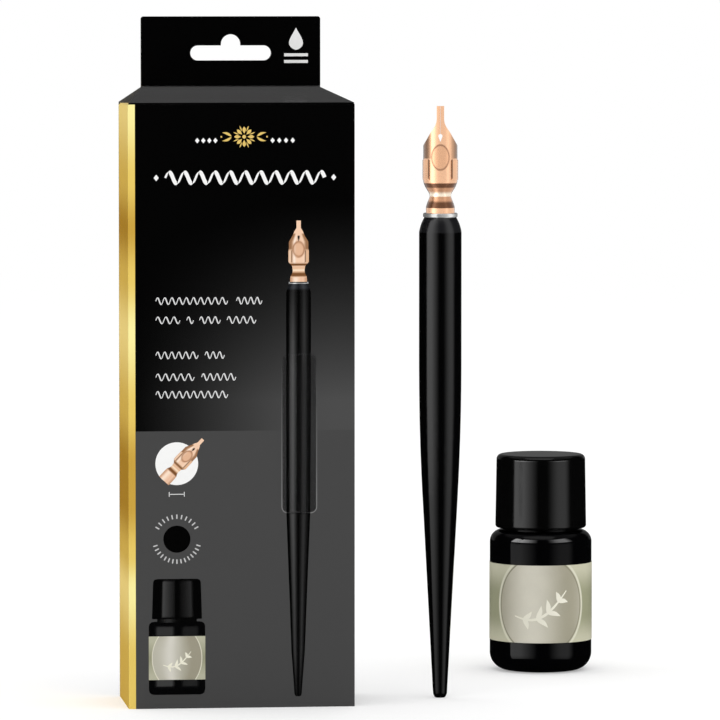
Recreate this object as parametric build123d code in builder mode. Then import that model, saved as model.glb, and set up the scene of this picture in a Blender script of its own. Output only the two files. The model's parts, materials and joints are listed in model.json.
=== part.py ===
"""Dip pen set, in millimetres: a hang-tab carton, a dip pen standing beside it and a bottle of ink.

The frame has +Z up and the carton's printed front facing -Y. The origin is on the table, in the
middle of the rectangle that the three pieces stand in. The carton is one folded blank, and each
of its panels is a piece here, because its creases are where it moves. The pen is a tapered
holder with a domed collar, a metal ferrule, a sprung clip inside it, a formed nib and a slip-on
reservoir. The bottle is thick glass with a threaded neck, and a smooth screw cap with a liner.
"""

import os
from math import asin, atan2, cos, degrees, hypot, radians, sin, sqrt

from build123d import *

os.makedirs("parts", exist_ok=True)

# Carton
carton_width = 67.5
carton_height = 180.0
carton_depth = 35.0
board = 0.5
board_gap = 0.2
crease_round = 0.3
glue_flap_width = 12.0

# Carton top: a sloping top flap, its tuck flap and two dust flaps
top_rise = 3.9
tuck_length = 14.0
tuck_lean = 12.0
tuck_corner = 4.0
tuck_gap = 0.35
dust_flap_length = 28.0
dust_flap_clear = 0.8
dust_flap_taper = 1.5
dust_flap_rear_gap = 5.0

# Hang tab and its slot
tab_width = 54.2
tab_height = 25.1
tab_corner = 0.8
slot_width = 24.4
slot_height = 4.5
slot_hump_radius = 2.95
slot_hump_rise = 3.35
slot_drop = 11.0

# Carton base, glued
base_rear_depth = 22.0
base_side_length = 24.0
base_corner = 6.0

# Card fitment inside the carton
fitment_setback = 13.0
fitment_side_gap = 0.4
fitment_head_room = 8.0
pen_slot_width = 10.4
pen_slot_inset = 16.1
pen_slot_end_wall = 12.0
bottle_window_inset = 4.5
bottle_window_gap = 0.5

# Clear patch stuck to the carton's front
patch_width = 10.2
patch_height = 47.2
patch_corner = 2.2
patch_thickness = 0.12
patch_centre_inset = 16.6
patch_foot = 58.1

# Pen holder
holder_radius = 6.38
holder_length = 140.4
holder_tail_radius = 2.16
holder_tail_flat = 1.2
holder_tail_round = 2.2
holder_taper_end = 100.0
holder_mid_radius = 5.26
holder_mid_height = 60.0
ferrule_socket_depth = 7.2

# Collar, ferrule and clip
collar_height = 4.5
collar_top_radius = 4.8
collar_crown_radius = 5.84
ferrule_radius = 4.62
ferrule_wall = 0.28
ferrule_flange_radius = 5.16
ferrule_flange_height = 1.3
ferrule_lip = 0.4
ferrule_lip_width = 1.2
pen_fit = 0.03
clip_wall = 0.3
clip_slot = 0.8
clip_slot_foot = 3.0
clip_head_gap = 0.6

# Nib
nib_sheet = 0.3
nib_shank_radius = 4.3
nib_shank_depth = 10.0
nib_waist_radius = 3.2
nib_body_radius = 5.1
nib_neck_foot = 1.8
nib_waist_height = 5.2
nib_body_foot = 9.4
nib_taper_foot = 20.3
nib_point_foot = 28.5
nib_length = 32.2
nib_taper_radius = 3.24
nib_taper_height = 23.7
nib_point_radius = 1.11
nib_neck_lean = 0.22
nib_dip = 0.45
nib_slit = 0.06
breather_radius = 0.62
breather_height = 23.2
breather_tail = 1.75
pad_width = 5.5
pad_height = 7.9
pad_centre = 16.8
pad_rise = 0.14

# Reservoir, clipped round the nib
reservoir_sheet = 0.2
reservoir_foot = 10.0
reservoir_height = 5.9
reservoir_opening = 40.0
tongue_width = 3.0
tongue_rise = 4.9
tongue_gap = 0.9
tongue_flat = 1.4

# Ink bottle
bottle_radius = 15.9
bottle_wall = 2.0
bottle_foot = 2.6
bottle_base_round = 5.6
bottle_shoulder_round = 3.8
bottle_shoulder_height = 44.0
bottle_inner_round = 3.0
bottle_punt_radius = 8.5
bottle_punt = 0.7
neck_bead_radius = 12.05
neck_bead_height = 2.4
neck_radius = 10.6
neck_bore_radius = 8.4
neck_height = 20.4
ink_neck_rise = 2.0
ink_gap = 0.02

# Thread of neck and cap
thread_pitch = 3.5
thread_root = 1.3
thread_crest = 0.7
thread_clear = 0.4
neck_thread_turns = 1.5
neck_thread_foot = 5.3
cap_thread_turns = 1.25
thread_bury = 0.25

# Label
label_foot = 9.7
label_height = 24.2
label_thickness = 0.1
label_paste = 0.02
label_seam = 8.0

# Cap and liner
cap_foot = 0.6
cap_height = 23.0
cap_foot_radius = 14.2
cap_top_radius = 13.82
cap_wall = 1.8
cap_top_round = 1.6
cap_foot_round = 0.9
cap_liner_thickness = 1.0
cap_liner_gap = 0.1

# Where the pieces stand, from the carton's right side and its middle
pen_stand_right = 28.2
pen_stand_back = 3.5
bottle_stand_right = 41.1
bottle_stand_back = 78.5
pen_turn = 7.0

# Places worked out from the sizes above
pen_from_left = carton_width + pen_stand_right
bottle_from_left = pen_from_left + bottle_stand_right
label_radius = bottle_radius + label_paste + label_thickness
pen_from_front = carton_depth / 2 + pen_stand_back
bottle_from_front = carton_depth / 2 + bottle_stand_back
set_width = max(bottle_from_left + label_radius, pen_from_left + holder_radius, carton_width)
set_back = max(bottle_from_front + label_radius, pen_from_front + holder_radius, carton_depth)
set_front = min(-patch_thickness, bottle_from_front - label_radius, pen_from_front - holder_radius)

carton_left = -set_width / 2
carton_right = carton_left + carton_width
carton_front = -(set_front + set_back) / 2
carton_back = carton_front + carton_depth
carton_middle = carton_left + carton_width / 2
inner_left = carton_left + board
inner_right = carton_right - board
inner_front = carton_front + board
inner_back = carton_back - board
pen_x = carton_left + pen_from_left
pen_y = carton_front + pen_from_front
bottle_x = carton_left + bottle_from_left
bottle_y = carton_front + bottle_from_front

pen_axis = Axis((pen_x, pen_y, 0), (0, 0, 1))
bottle_axis = Axis((bottle_x, bottle_y, 0), (0, 0, 1))
# Sections of the pen and bottle: local x is the radius, local y the height. The pen's section is
# seen from its front, which is turned a little to the left, where a viewer of the whole set stands.
# The bottle's faces the side, so that its seam is clear of the thread's start.
pen_right = (cos(radians(pen_turn)), -sin(radians(pen_turn)), 0)
pen_front = (-sin(radians(pen_turn)), -cos(radians(pen_turn)), 0)
pen_plane = Plane(origin=(pen_x, pen_y, 0), x_dir=pen_right, z_dir=pen_front)
bottle_plane = Plane(origin=(bottle_x, bottle_y, 0), x_dir=(0, 1, 0), z_dir=(1, 0, 0))


def keep(piece, name):
    """Names a finished piece and writes its file."""
    piece.part.label = name
    export_step(piece.part, f"parts/{name}.step")


def sheet(left, right, front, back, foot, head):
    """A flat sheet between two x, two y and two z coordinates."""
    with BuildPart() as flat:
        with BuildSketch(Plane.XY.offset(foot)):
            with Locations(((left + right) / 2, (front + back) / 2)):
                Rectangle(right - left, back - front)
        extrude(amount=head - foot)
    return flat


# Carton wall: the front and back lie over the edges of the two sides
side_head = carton_height - board - board_gap
front_head = carton_height - board

with BuildPart() as front_panel:
    with BuildSketch(Plane.XY):
        with Locations((carton_middle, carton_front + board / 2)):
            Rectangle(carton_width, board)
    extrude(amount=front_head)
    # the two long outer creases
    fillet(front_panel.edges().filter_by(Axis.Z).group_by(Axis.Y)[0], min(crease_round, 0.9 * board))
keep(front_panel, "front_panel")

left_side_panel = sheet(carton_left, inner_left, inner_front, inner_back, 0, side_head - board)
keep(left_side_panel, "left_side_panel")
right_side_panel = sheet(inner_right, carton_right, inner_front, inner_back, 0, side_head - board)
keep(right_side_panel, "right_side_panel")

# The back panel runs up into the hang tab, which is one board with it. Sloping shoulders lead from
# the panel's corners to the tab's foot, beside the raised edge of the top flap.
tab_head = carton_height + tab_height
slot_centre = tab_head - slot_drop
hump_centre = slot_centre + slot_height / 2 + slot_hump_rise - slot_hump_radius
back_plane = Plane(origin=(carton_middle, carton_back, 0), x_dir=(1, 0, 0), z_dir=(0, -1, 0))


def hang_slot():
    """The hanging slot's outline: a round-ended slot with a hump over its middle."""
    with Locations((0, slot_centre)):
        SlotOverall(slot_width, slot_height, mode=Mode.SUBTRACT)
    with Locations((0, (slot_centre + hump_centre) / 2)):
        Rectangle(2 * slot_hump_radius, hump_centre - slot_centre, mode=Mode.SUBTRACT)
    with Locations((0, hump_centre)):
        Circle(slot_hump_radius, mode=Mode.SUBTRACT)


with BuildPart() as back_panel:
    with BuildSketch(back_plane) as outline:
        with Locations((0, (carton_height - board) / 2)):
            Rectangle(carton_width, carton_height - board)
        with BuildLine():
            Polyline(
                (-carton_width / 2, carton_height - board),
                (carton_width / 2, carton_height - board),
                (tab_width / 2, carton_height + top_rise),
                (-tab_width / 2, carton_height + top_rise),
                close=True,
            )
        make_face()
        with Locations((0, tab_head - tab_height / 2 - board / 2)):
            Rectangle(tab_width, tab_height + board)
        fillet(outline.vertices().group_by(Axis.Y)[-1], tab_corner)
        hang_slot()
    extrude(amount=board)
keep(back_panel, "back_panel")

# The tab is doubled: its second ply is folded over the top and glued to its front
doubler_foot = carton_height + top_rise + tuck_gap
with BuildPart() as hang_tab_doubler:
    with BuildSketch(back_plane.offset(board)) as outline:
        with Locations((0, (tab_head + doubler_foot) / 2)):
            Rectangle(tab_width, tab_head - doubler_foot)
        fillet(outline.vertices().group_by(Axis.Y)[-1], tab_corner)
        hang_slot()
    extrude(amount=board)
keep(hang_tab_doubler, "hang_tab_doubler")

# The glue flap joins the right side to the back panel, inside
glue_flap = sheet(inner_right - glue_flap_width, inner_right, inner_back - board, inner_back,
                  4 * board, side_head - 3 * board)
keep(glue_flap, "glue_flap")

# Top flap: creased to the front panel, it slopes up to the foot of the hang tab
slope_run = carton_depth - 2 * board - tuck_gap
slope = degrees(atan2(top_rise, slope_run))
flap_length = hypot(top_rise, slope_run)
# Local x runs across the carton, local y up the slope, and the plane is the flap's upper face
flap_plane = Plane(
    origin=(carton_middle, carton_front, carton_height),
    x_dir=(1, 0, 0),
    z_dir=(0, -sin(radians(slope)), cos(radians(slope))),
)
flap_front_width = carton_width - 2 * board_gap
flap_rear_width = tab_width - 2 * board_gap

with BuildPart() as top_flap:
    with BuildSketch(flap_plane):
        with BuildLine():
            Polyline(
                (-flap_front_width / 2, 0),
                (flap_front_width / 2, 0),
                (flap_rear_width / 2, flap_length),
                (-flap_rear_width / 2, flap_length),
                close=True,
            )
        make_face()
    extrude(amount=-board)
keep(top_flap, "top_flap")

# Tuck flap: hangs from the top flap's rear crease, leaning in so that it clears the back panel
tuck_plane = Plane(
    origin=(carton_middle, carton_front + slope_run, carton_height + top_rise),
    x_dir=(1, 0, 0),
    z_dir=(0, -cos(radians(tuck_lean)), sin(radians(tuck_lean))),
)
tuck_start = board / cos(radians(slope)) + board_gap
with BuildPart() as tuck_flap:
    with BuildSketch(tuck_plane) as outline:
        with Locations((0, -(tuck_start + tuck_length) / 2)):
            Rectangle(flap_rear_width - 2 * board, tuck_length - tuck_start)
        fillet(outline.vertices().group_by(Axis.Y)[0], tuck_corner)
    extrude(amount=board)
keep(tuck_flap, "tuck_flap")


def dust_flap(edge, inward):
    """One dust flap, creased to the head of a side panel; its front edge tapers inward."""
    rear = inner_back - dust_flap_rear_gap
    front = inner_front + dust_flap_clear
    reach = min(dust_flap_length, (carton_width - board_gap) / 2)
    with BuildPart() as flap:
        with BuildSketch(Plane.XY.offset(side_head - board)):
            with BuildLine():
                Polyline(
                    (edge, front),
                    (edge, rear),
                    (edge + inward * reach, rear),
                    (edge + inward * reach, min(front + reach / dust_flap_taper, rear - board)),
                    close=True,
                )
            make_face()
        extrude(amount=board)
    return flap


dust_flap_left = dust_flap(carton_left, 1)
keep(dust_flap_left, "dust_flap_left")
dust_flap_right = dust_flap(carton_right, -1)
keep(dust_flap_right, "dust_flap_right")

# Base: four glued flaps, the front one outermost
base_front_flap = sheet(inner_left, inner_right, inner_front, inner_back, 0, board)
keep(base_front_flap, "base_front_flap")

with BuildPart() as base_rear_flap:
    with BuildSketch(Plane.XY.offset(board)) as outline:
        with Locations((carton_middle, inner_back - base_rear_depth / 2)):
            Rectangle(inner_right - inner_left, base_rear_depth)
        chamfer(outline.vertices().group_by(Axis.Y)[0], base_corner)
    extrude(amount=board)
keep(base_rear_flap, "base_rear_flap")


def base_side_flap(edge, inward):
    """One side flap of the base, above the rear flap, with its inner corners cut off."""
    with BuildPart() as flap:
        with BuildSketch(Plane.XY.offset(2 * board)) as outline:
            with Locations((edge + inward * base_side_length / 2, (inner_front + inner_back) / 2)):
                Rectangle(base_side_length, inner_back - inner_front)
            corners = outline.vertices().sort_by(Axis.X)
            chamfer(corners[2:] if inward > 0 else corners[:2], base_corner)
        extrude(amount=board)
    return flap


base_side_flap_left = base_side_flap(inner_left, 1)
keep(base_side_flap_left, "base_side_flap_left")
base_side_flap_right = base_side_flap(inner_right, -1)
keep(base_side_flap_right, "base_side_flap_right")

# Card fitment: a platform with a slot for the pen and a window for the bottle, on two legs
fitment_left = inner_left + fitment_side_gap
fitment_right = inner_right - fitment_side_gap
fitment_foot = 3 * board
fitment_head = side_head - fitment_head_room
fitment_face = carton_front + fitment_setback
leg_back = inner_back - board - board_gap
bottle_window_width = 2 * sqrt(bottle_radius**2 - (carton_depth / 2 - fitment_setback) ** 2)
bottle_window_width += 2 * bottle_window_gap
bottle_window_head = bottle_shoulder_height + cap_foot + cap_height + 2 * bottle_window_gap
pen_slot_middle = inner_right - pen_slot_inset
pen_slot_foot = fitment_foot + pen_slot_end_wall
pen_slot_head = fitment_head - pen_slot_end_wall

with BuildPart() as card_fitment:
    with BuildSketch(Plane.XY.offset(fitment_foot)):
        with Locations(((fitment_left + fitment_right) / 2, (fitment_face + leg_back) / 2)):
            Rectangle(fitment_right - fitment_left, leg_back - fitment_face)
        with Locations(((fitment_left + fitment_right) / 2, (fitment_face + leg_back) / 2 + board)):
            Rectangle(fitment_right - fitment_left - 2 * board, leg_back - fitment_face,
                      mode=Mode.SUBTRACT)
    extrude(amount=fitment_head - fitment_foot)
    with BuildSketch(Plane(origin=(0, fitment_face, 0), x_dir=(1, 0, 0), z_dir=(0, -1, 0))):
        with Locations((pen_slot_middle, (pen_slot_foot + pen_slot_head) / 2)):
            SlotOverall(pen_slot_head - pen_slot_foot, pen_slot_width, rotation=90)
        with Locations((fitment_left + bottle_window_inset + bottle_window_width / 2,
                        (fitment_foot + bottle_window_head) / 2)):
            Rectangle(bottle_window_width, bottle_window_head - fitment_foot)
    extrude(amount=-board, mode=Mode.SUBTRACT)
keep(card_fitment, "card_fitment")

# Clear patch on the carton's front
with BuildPart() as clear_patch:
    with BuildSketch(Plane(origin=(0, carton_front, 0), x_dir=(1, 0, 0), z_dir=(0, -1, 0))):
        with Locations((carton_right - patch_centre_inset, patch_foot + patch_height / 2)):
            RectangleRounded(patch_width, patch_height, patch_corner)
    extrude(amount=patch_thickness)
keep(clear_patch, "clear_patch")

# Pen holder: a rounded tail, a long taper, a straight grip and a socket for the ferrule
holder_bore = ferrule_radius + pen_fit
with BuildPart() as pen_holder:
    with BuildSketch(pen_plane):
        with BuildLine():
            Line((0, 0), (holder_tail_flat, 0))
            EllipticalCenterArc(
                (holder_tail_flat, holder_tail_round),
                holder_tail_radius - holder_tail_flat,
                holder_tail_round,
                start_angle=270,
                arc_size=90,
            )
            straight = Line(
                (holder_tail_radius, holder_tail_round), (holder_mid_radius, holder_mid_height)
            )
            Spline(
                (holder_mid_radius, holder_mid_height),
                (holder_radius, holder_taper_end),
                tangents=(straight % 1, (0, 1)),
            )
            Polyline(
                (holder_radius, holder_taper_end),
                (holder_radius, holder_length),
                (holder_bore, holder_length),
                (holder_bore, holder_length - ferrule_socket_depth),
                (0, holder_length - ferrule_socket_depth),
                (0, 0),
            )
        make_face()
    revolve(axis=pen_axis)
keep(pen_holder, "pen_holder")

# Collar: the domed ring between the holder and the ferrule's flange
collar_head = holder_length + collar_height
with BuildPart() as collar:
    with BuildSketch(pen_plane):
        with BuildLine():
            Line((holder_bore, holder_length), (holder_radius, holder_length))
            ThreePointArc(
                (holder_radius, holder_length),
                (collar_crown_radius, holder_length + collar_height / 2),
                (collar_top_radius, collar_head),
            )
            Polyline(
                (collar_top_radius, collar_head),
                (holder_bore, collar_head),
                (holder_bore, holder_length),
            )
        make_face()
    revolve(axis=pen_axis)
keep(collar, "collar")

# Ferrule: a drawn tube with a flange on the collar and a lip under the clip
ferrule_foot = holder_length - ferrule_socket_depth + pen_fit
ferrule_bore = ferrule_radius - ferrule_wall
ferrule_head = collar_head + ferrule_flange_height
with BuildPart() as ferrule:
    with BuildSketch(pen_plane):
        with BuildLine():
            Polyline(
                (ferrule_bore - ferrule_lip_width, ferrule_foot),
                (ferrule_radius, ferrule_foot),
                (ferrule_radius, collar_head),
                (ferrule_flange_radius, collar_head),
                (ferrule_flange_radius, ferrule_head),
                (ferrule_bore, ferrule_head),
                (ferrule_bore, ferrule_foot + ferrule_lip),
                (ferrule_bore - ferrule_lip_width, ferrule_foot + ferrule_lip),
                close=True,
            )
        make_face()
    revolve(axis=pen_axis)
    rim = ferrule.edges().filter_by(GeomType.CIRCLE).group_by(SortBy.RADIUS)[-1]
    fillet(rim, ferrule_flange_height / 4)
keep(ferrule, "ferrule")

# Clip: a sprung cup with four petals that hold the nib's shank against the ferrule
clip_foot = ferrule_foot + ferrule_lip
clip_radius = nib_shank_radius - nib_sheet - pen_fit
clip_head = ferrule_head - clip_head_gap
with BuildPart() as nib_clip:
    with BuildSketch(pen_plane):
        with BuildLine():
            Polyline(
                (0, clip_foot),
                (ferrule_bore - pen_fit, clip_foot),
                (ferrule_bore - pen_fit, clip_foot + clip_wall),
                (clip_radius, clip_foot + clip_wall),
                (clip_radius, clip_head),
                (clip_radius - clip_wall, clip_head),
                (clip_radius - clip_wall, clip_foot + clip_wall),
                (0, clip_foot + clip_wall),
                close=True,
            )
        make_face()
    revolve(axis=pen_axis)
    with BuildSketch(Plane(origin=(pen_x, pen_y, clip_foot + clip_slot_foot), x_dir=pen_right)):
        Rectangle(3 * clip_radius, clip_slot)
        Rectangle(clip_slot, 3 * clip_radius)
    extrude(amount=clip_head, mode=Mode.SUBTRACT)
keep(nib_clip, "nib_clip")

# Nib: sheet formed round the pen's axis, then cut to its outline as seen from the front
nib_base = ferrule_head
nib_foot = max(nib_base - nib_shank_depth, clip_foot + clip_wall + 2 * pen_fit)
nib_tip = nib_base + nib_length


def nib_side(inset):
    """The formed sheet's profile, moved in from its outer face by inset, foot to tip.

    The neck meets the shank and the body at a crease, and the blade dips towards its tip.
    """
    Line((nib_shank_radius - inset, nib_foot), (nib_shank_radius - inset, nib_base + nib_neck_foot))
    Spline(
        (nib_shank_radius - inset, nib_base + nib_neck_foot),
        (nib_waist_radius - inset, nib_base + nib_waist_height),
        (nib_body_radius - inset, nib_base + nib_body_foot),
        tangents=((-nib_neck_lean, 1), (nib_neck_lean, 1)),
    )
    Line(
        (nib_body_radius - inset, nib_base + nib_body_foot),
        (nib_body_radius - inset, nib_base + nib_taper_foot),
    )
    Spline(
        (nib_body_radius - inset, nib_base + nib_taper_foot),
        (nib_body_radius - nib_dip - inset, nib_tip),
        tangents=((0, 1), (-2 * nib_dip, nib_tip - nib_base - nib_taper_foot)),
    )


with BuildPart() as nib_pad:
    with BuildSketch(pen_plane):
        with Locations((nib_body_radius + (pad_rise - nib_sheet / 2) / 2, nib_base + pad_centre)):
            Rectangle(pad_rise + nib_sheet / 2, 2 * pad_height)
    revolve(axis=pen_axis)
    with BuildSketch(pen_plane):
        with Locations((0, nib_base + pad_centre)):
            Ellipse(pad_width / 2, pad_height / 2)
    extrude(amount=2 * nib_body_radius, mode=Mode.INTERSECT)

with BuildPart() as nib:
    with BuildSketch(pen_plane):
        with BuildLine():
            nib_side(0)
            nib_side(nib_sheet)
            Line((nib_shank_radius - nib_sheet, nib_foot), (nib_shank_radius, nib_foot))
            Line(
                (nib_body_radius - nib_dip - nib_sheet, nib_tip), (nib_body_radius - nib_dip, nib_tip)
            )
        make_face()
    revolve(axis=pen_axis)
    # the outline: full width up to the taper, hollow flanks, and a square writing edge
    with BuildSketch(pen_plane) as outline:
        wide = nib_body_radius + nib_sheet
        flank = (nib_body_radius - nib_taper_radius) / (nib_taper_height - nib_taper_foot)
        with BuildLine():
            Polyline(
                (0, nib_foot),
                (wide, nib_foot),
                (wide, nib_base + nib_taper_foot - nib_sheet / flank),
                (nib_taper_radius, nib_base + nib_taper_height),
            )
            Spline(
                (nib_taper_radius, nib_base + nib_taper_height),
                (nib_point_radius, nib_base + nib_point_foot),
                tangents=((-flank, 1), (0, 1)),
            )
            Polyline(
                (nib_point_radius, nib_base + nib_point_foot),
                (nib_point_radius, nib_tip),
                (0, nib_tip),
                (0, nib_foot),
            )
        make_face()
        mirror(about=Plane.YZ)
    extrude(amount=2 * nib_body_radius, mode=Mode.INTERSECT)
    add(nib_pad.part)
    # breather hole, drawn down to a point, and the slit that runs from it to the tip
    breather_lean = asin(breather_radius / breather_tail)
    breather_side = breather_radius * cos(breather_lean)
    breather_drop = breather_radius * sin(breather_lean)
    with BuildSketch(pen_plane):
        with Locations((0, nib_base + breather_height)):
            Circle(breather_radius)
        with BuildLine():
            Polyline(
                (-breather_side, nib_base + breather_height - breather_drop),
                (0, nib_base + breather_height - breather_tail),
                (breather_side, nib_base + breather_height - breather_drop),
                close=True,
            )
        make_face()
        with Locations((0, nib_base + (breather_height + nib_length + nib_sheet) / 2)):
            Rectangle(nib_slit, nib_length + nib_sheet - breather_height)
    extrude(amount=2 * nib_body_radius, mode=Mode.SUBTRACT)
keep(nib, "nib")

# Reservoir: a band clipped round the nib from behind, with a tongue that rises under its hollow
reservoir_bore = nib_body_radius + pen_fit
reservoir_head = nib_base + reservoir_foot + reservoir_height
tongue_front = nib_body_radius - nib_sheet - tongue_gap
with BuildPart() as reservoir:
    with BuildSketch(pen_plane):
        with Locations((reservoir_bore + reservoir_sheet / 2, reservoir_head - reservoir_height / 2)):
            Rectangle(reservoir_sheet, reservoir_height)
    revolve(axis=pen_axis)
    # the band is open at the front
    with BuildSketch(Plane(origin=(pen_x, pen_y, nib_base), x_dir=pen_right)):
        reach = 2 * reservoir_bore
        with BuildLine():
            Polyline(
                (0, 0),
                (reach * sin(radians(reservoir_opening)), -reach * cos(radians(reservoir_opening))),
                (-reach * sin(radians(reservoir_opening)), -reach * cos(radians(reservoir_opening))),
                close=True,
            )
        make_face()
    extrude(amount=reservoir_foot + reservoir_height, mode=Mode.SUBTRACT)
    # the tongue, seen from the side: back of the band, up and forward, then flat under the nib
    side_plane = Plane(origin=(pen_x, pen_y, 0), x_dir=(-pen_front[0], -pen_front[1], 0), z_dir=pen_right)
    with BuildSketch(side_plane):
        with BuildLine():
            foot = (reservoir_bore + reservoir_sheet, reservoir_head - reservoir_height / 2)
            knee = (reservoir_bore + reservoir_sheet, reservoir_head)
            toe = (-tongue_front + reservoir_sheet, reservoir_head + tongue_rise - tongue_flat)
            tip = (-tongue_front + reservoir_sheet, reservoir_head + tongue_rise)
            Polyline(
                foot,
                knee,
                toe,
                tip,
                (tip[0] - reservoir_sheet, tip[1]),
                (toe[0] - reservoir_sheet, toe[1] - reservoir_sheet),
                (knee[0] - reservoir_sheet, knee[1] - reservoir_sheet),
                (foot[0] - reservoir_sheet, foot[1]),
                close=True,
            )
        make_face()
    extrude(amount=tongue_width / 2, both=True)
keep(reservoir, "reservoir")


def thread_ridge(root_radius, outward, crest_radius, turns, foot):
    """A helical ridge on the bottle's axis; outward is 1 on the neck and -1 in the cap."""
    start = (bottle_x + root_radius, bottle_y, foot)
    tangent = (0, root_radius * radians(360), thread_pitch)
    depth = abs(crest_radius - root_radius)
    with BuildPart() as ridge:
        with BuildLine():
            Helix(thread_pitch, turns * thread_pitch, root_radius, center=(bottle_x, bottle_y, foot))
        with BuildSketch(Plane(origin=start, x_dir=(outward, 0, 0), z_dir=tangent)):
            with BuildLine():
                Polyline(
                    (-thread_bury, -thread_root / 2),
                    (-thread_bury, thread_root / 2),
                    (0, thread_root / 2),
                    (depth, thread_crest / 2),
                    (depth, -thread_crest / 2),
                    (0, -thread_root / 2),
                    close=True,
                )
            make_face()
        sweep(binormal=Edge.make_line((bottle_x, bottle_y, 0), (bottle_x, bottle_y, 1)))
    return ridge


# Bottle: round-shouldered glass with a bead under the thread
neck_head = bottle_shoulder_height + neck_height
bead_head = bottle_shoulder_height + neck_bead_height
cavity_radius = bottle_radius - bottle_wall
cavity_head = bottle_shoulder_height - bottle_wall
cap_bore = cap_foot_radius - cap_wall
neck_thread_crest = cap_bore - thread_clear
cap_thread_crest = neck_radius + thread_clear
neck_thread_start = bottle_shoulder_height + neck_thread_foot

neck_thread = thread_ridge(neck_radius, 1, neck_thread_crest, neck_thread_turns, neck_thread_start)

with BuildPart() as bottle_glass:
    with BuildSketch(bottle_plane) as wall:
        with BuildLine():
            Polyline(
                (0, bottle_punt),
                (bottle_punt_radius, bottle_punt),
                (bottle_punt_radius + bottle_punt, 0),
                (bottle_radius, 0),
                (bottle_radius, bottle_shoulder_height),
                (neck_bead_radius, bottle_shoulder_height),
                (neck_bead_radius, bead_head),
                (neck_radius, bead_head),
                (neck_radius, neck_head),
                (neck_bore_radius, neck_head),
                (neck_bore_radius, cavity_head),
                (cavity_radius, cavity_head),
                (cavity_radius, bottle_foot),
                (0, bottle_foot),
                close=True,
            )
        make_face()
        outer = wall.vertices().group_by(Axis.X)[-1].sort_by(Axis.Y)
        fillet(outer[0], bottle_base_round)
        outer = wall.vertices().group_by(Axis.X)[-1].sort_by(Axis.Y)
        fillet(outer[-1], min(bottle_shoulder_round, bottle_radius - neck_bead_radius - 0.05))
        for height in (bottle_foot, cavity_head):
            corner = wall.vertices().sort_by_distance((cavity_radius, height))[0]
            fillet(corner, bottle_inner_round)
        bead_edge = wall.vertices().sort_by_distance((neck_bead_radius, bead_head))[0]
        fillet(bead_edge, neck_bead_height / 4)
        lip = wall.vertices().group_by(Axis.Y)[-1]
        fillet(lip, (neck_radius - neck_bore_radius) / 5)
    revolve(axis=bottle_axis)
    add(neck_thread.part)
keep(bottle_glass, "bottle_glass")

# Ink: fills the glass and stands a little way up its neck
ink_floor = bottle_foot + ink_gap
ink_shoulder = cavity_head - ink_gap
ink_head = cavity_head + ink_neck_rise
with BuildPart() as ink:
    with BuildSketch(bottle_plane) as fill:
        with Locations((0, ink_floor)):
            Rectangle(cavity_radius - ink_gap, ink_shoulder - ink_floor, align=(Align.MIN, Align.MIN))
        fillet(fill.vertices().group_by(Axis.X)[-1], bottle_inner_round - ink_gap)
        with Locations((0, ink_floor)):
            Rectangle(neck_bore_radius - ink_gap, ink_head - ink_floor, align=(Align.MIN, Align.MIN))
    revolve(axis=bottle_axis)
keep(ink, "ink")

# Label: paper wrapped round the glass, with its seam at the back
with BuildPart() as bottle_label:
    with BuildSketch(Plane.XY.offset(label_foot)):
        with Locations((bottle_x, bottle_y)):
            Circle(label_radius)
            Circle(bottle_radius + label_paste, mode=Mode.SUBTRACT)
        with Locations((bottle_x, bottle_y + label_radius)):
            Rectangle(2 * label_radius * sin(radians(label_seam / 2)), label_radius / 2,
                      mode=Mode.SUBTRACT)
    extrude(amount=label_height)
keep(bottle_label, "bottle_label")

# Cap: a smooth tapered shell with the matching thread, half a pitch below the neck's
cap_start = bottle_shoulder_height + cap_foot
cap_head = cap_start + cap_height
cap_ceiling = neck_head + cap_liner_thickness + cap_liner_gap
cap_thread = thread_ridge(
    cap_bore, -1, cap_thread_crest, cap_thread_turns, neck_thread_start - thread_pitch / 2
)

with BuildPart() as cap_shell:
    with BuildSketch(bottle_plane) as section:
        with BuildLine():
            Polyline(
                (0, cap_ceiling),
                (cap_bore, cap_ceiling),
                (cap_bore, cap_start),
                (cap_foot_radius, cap_start),
                (cap_top_radius, cap_head),
                (0, cap_head),
                close=True,
            )
        make_face()
        foot_edge = section.vertices().sort_by_distance((cap_foot_radius, cap_start))[0]
        fillet(foot_edge, cap_foot_round)
        top_edge = section.vertices().sort_by_distance((cap_top_radius, cap_head))[0]
        fillet(top_edge, cap_top_round)
    revolve(axis=bottle_axis)
    add(cap_thread.part)
keep(cap_shell, "cap_shell")

# Liner: a soft disc between the cap's ceiling and the bottle's lip
with BuildPart() as cap_liner:
    with BuildSketch(Plane.XY.offset(neck_head)):
        with Locations((bottle_x, bottle_y)):
            Circle(cap_bore - thread_clear)
    extrude(amount=cap_liner_thickness)
keep(cap_liner, "cap_liner")

print("carton left, front:", round(carton_left, 3), round(carton_front, 3))
print("pen axis:", round(pen_x, 3), round(pen_y, 3), "bottle axis:", round(bottle_x, 3), round(bottle_y, 3))
print("top flap slope:", round(slope, 3), "tuck crease:", round(carton_front + slope_run, 3))
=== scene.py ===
# %% [markdown]
# # A dip pen set: hanging carton, pen and bottle of ink
#
# The set is a printed folding carton that hangs from a tab, a black lacquered pen with a copper nib, and
# a small bottle of black ink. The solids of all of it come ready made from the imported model, in metres
# and already in place. This lesson gives them their finishes, adds the printing that lies on the board,
# and lights them as a catalogue photograph is lit: pale ground, black things with clean highlights.

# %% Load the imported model
import json
from math import pi, radians

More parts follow.
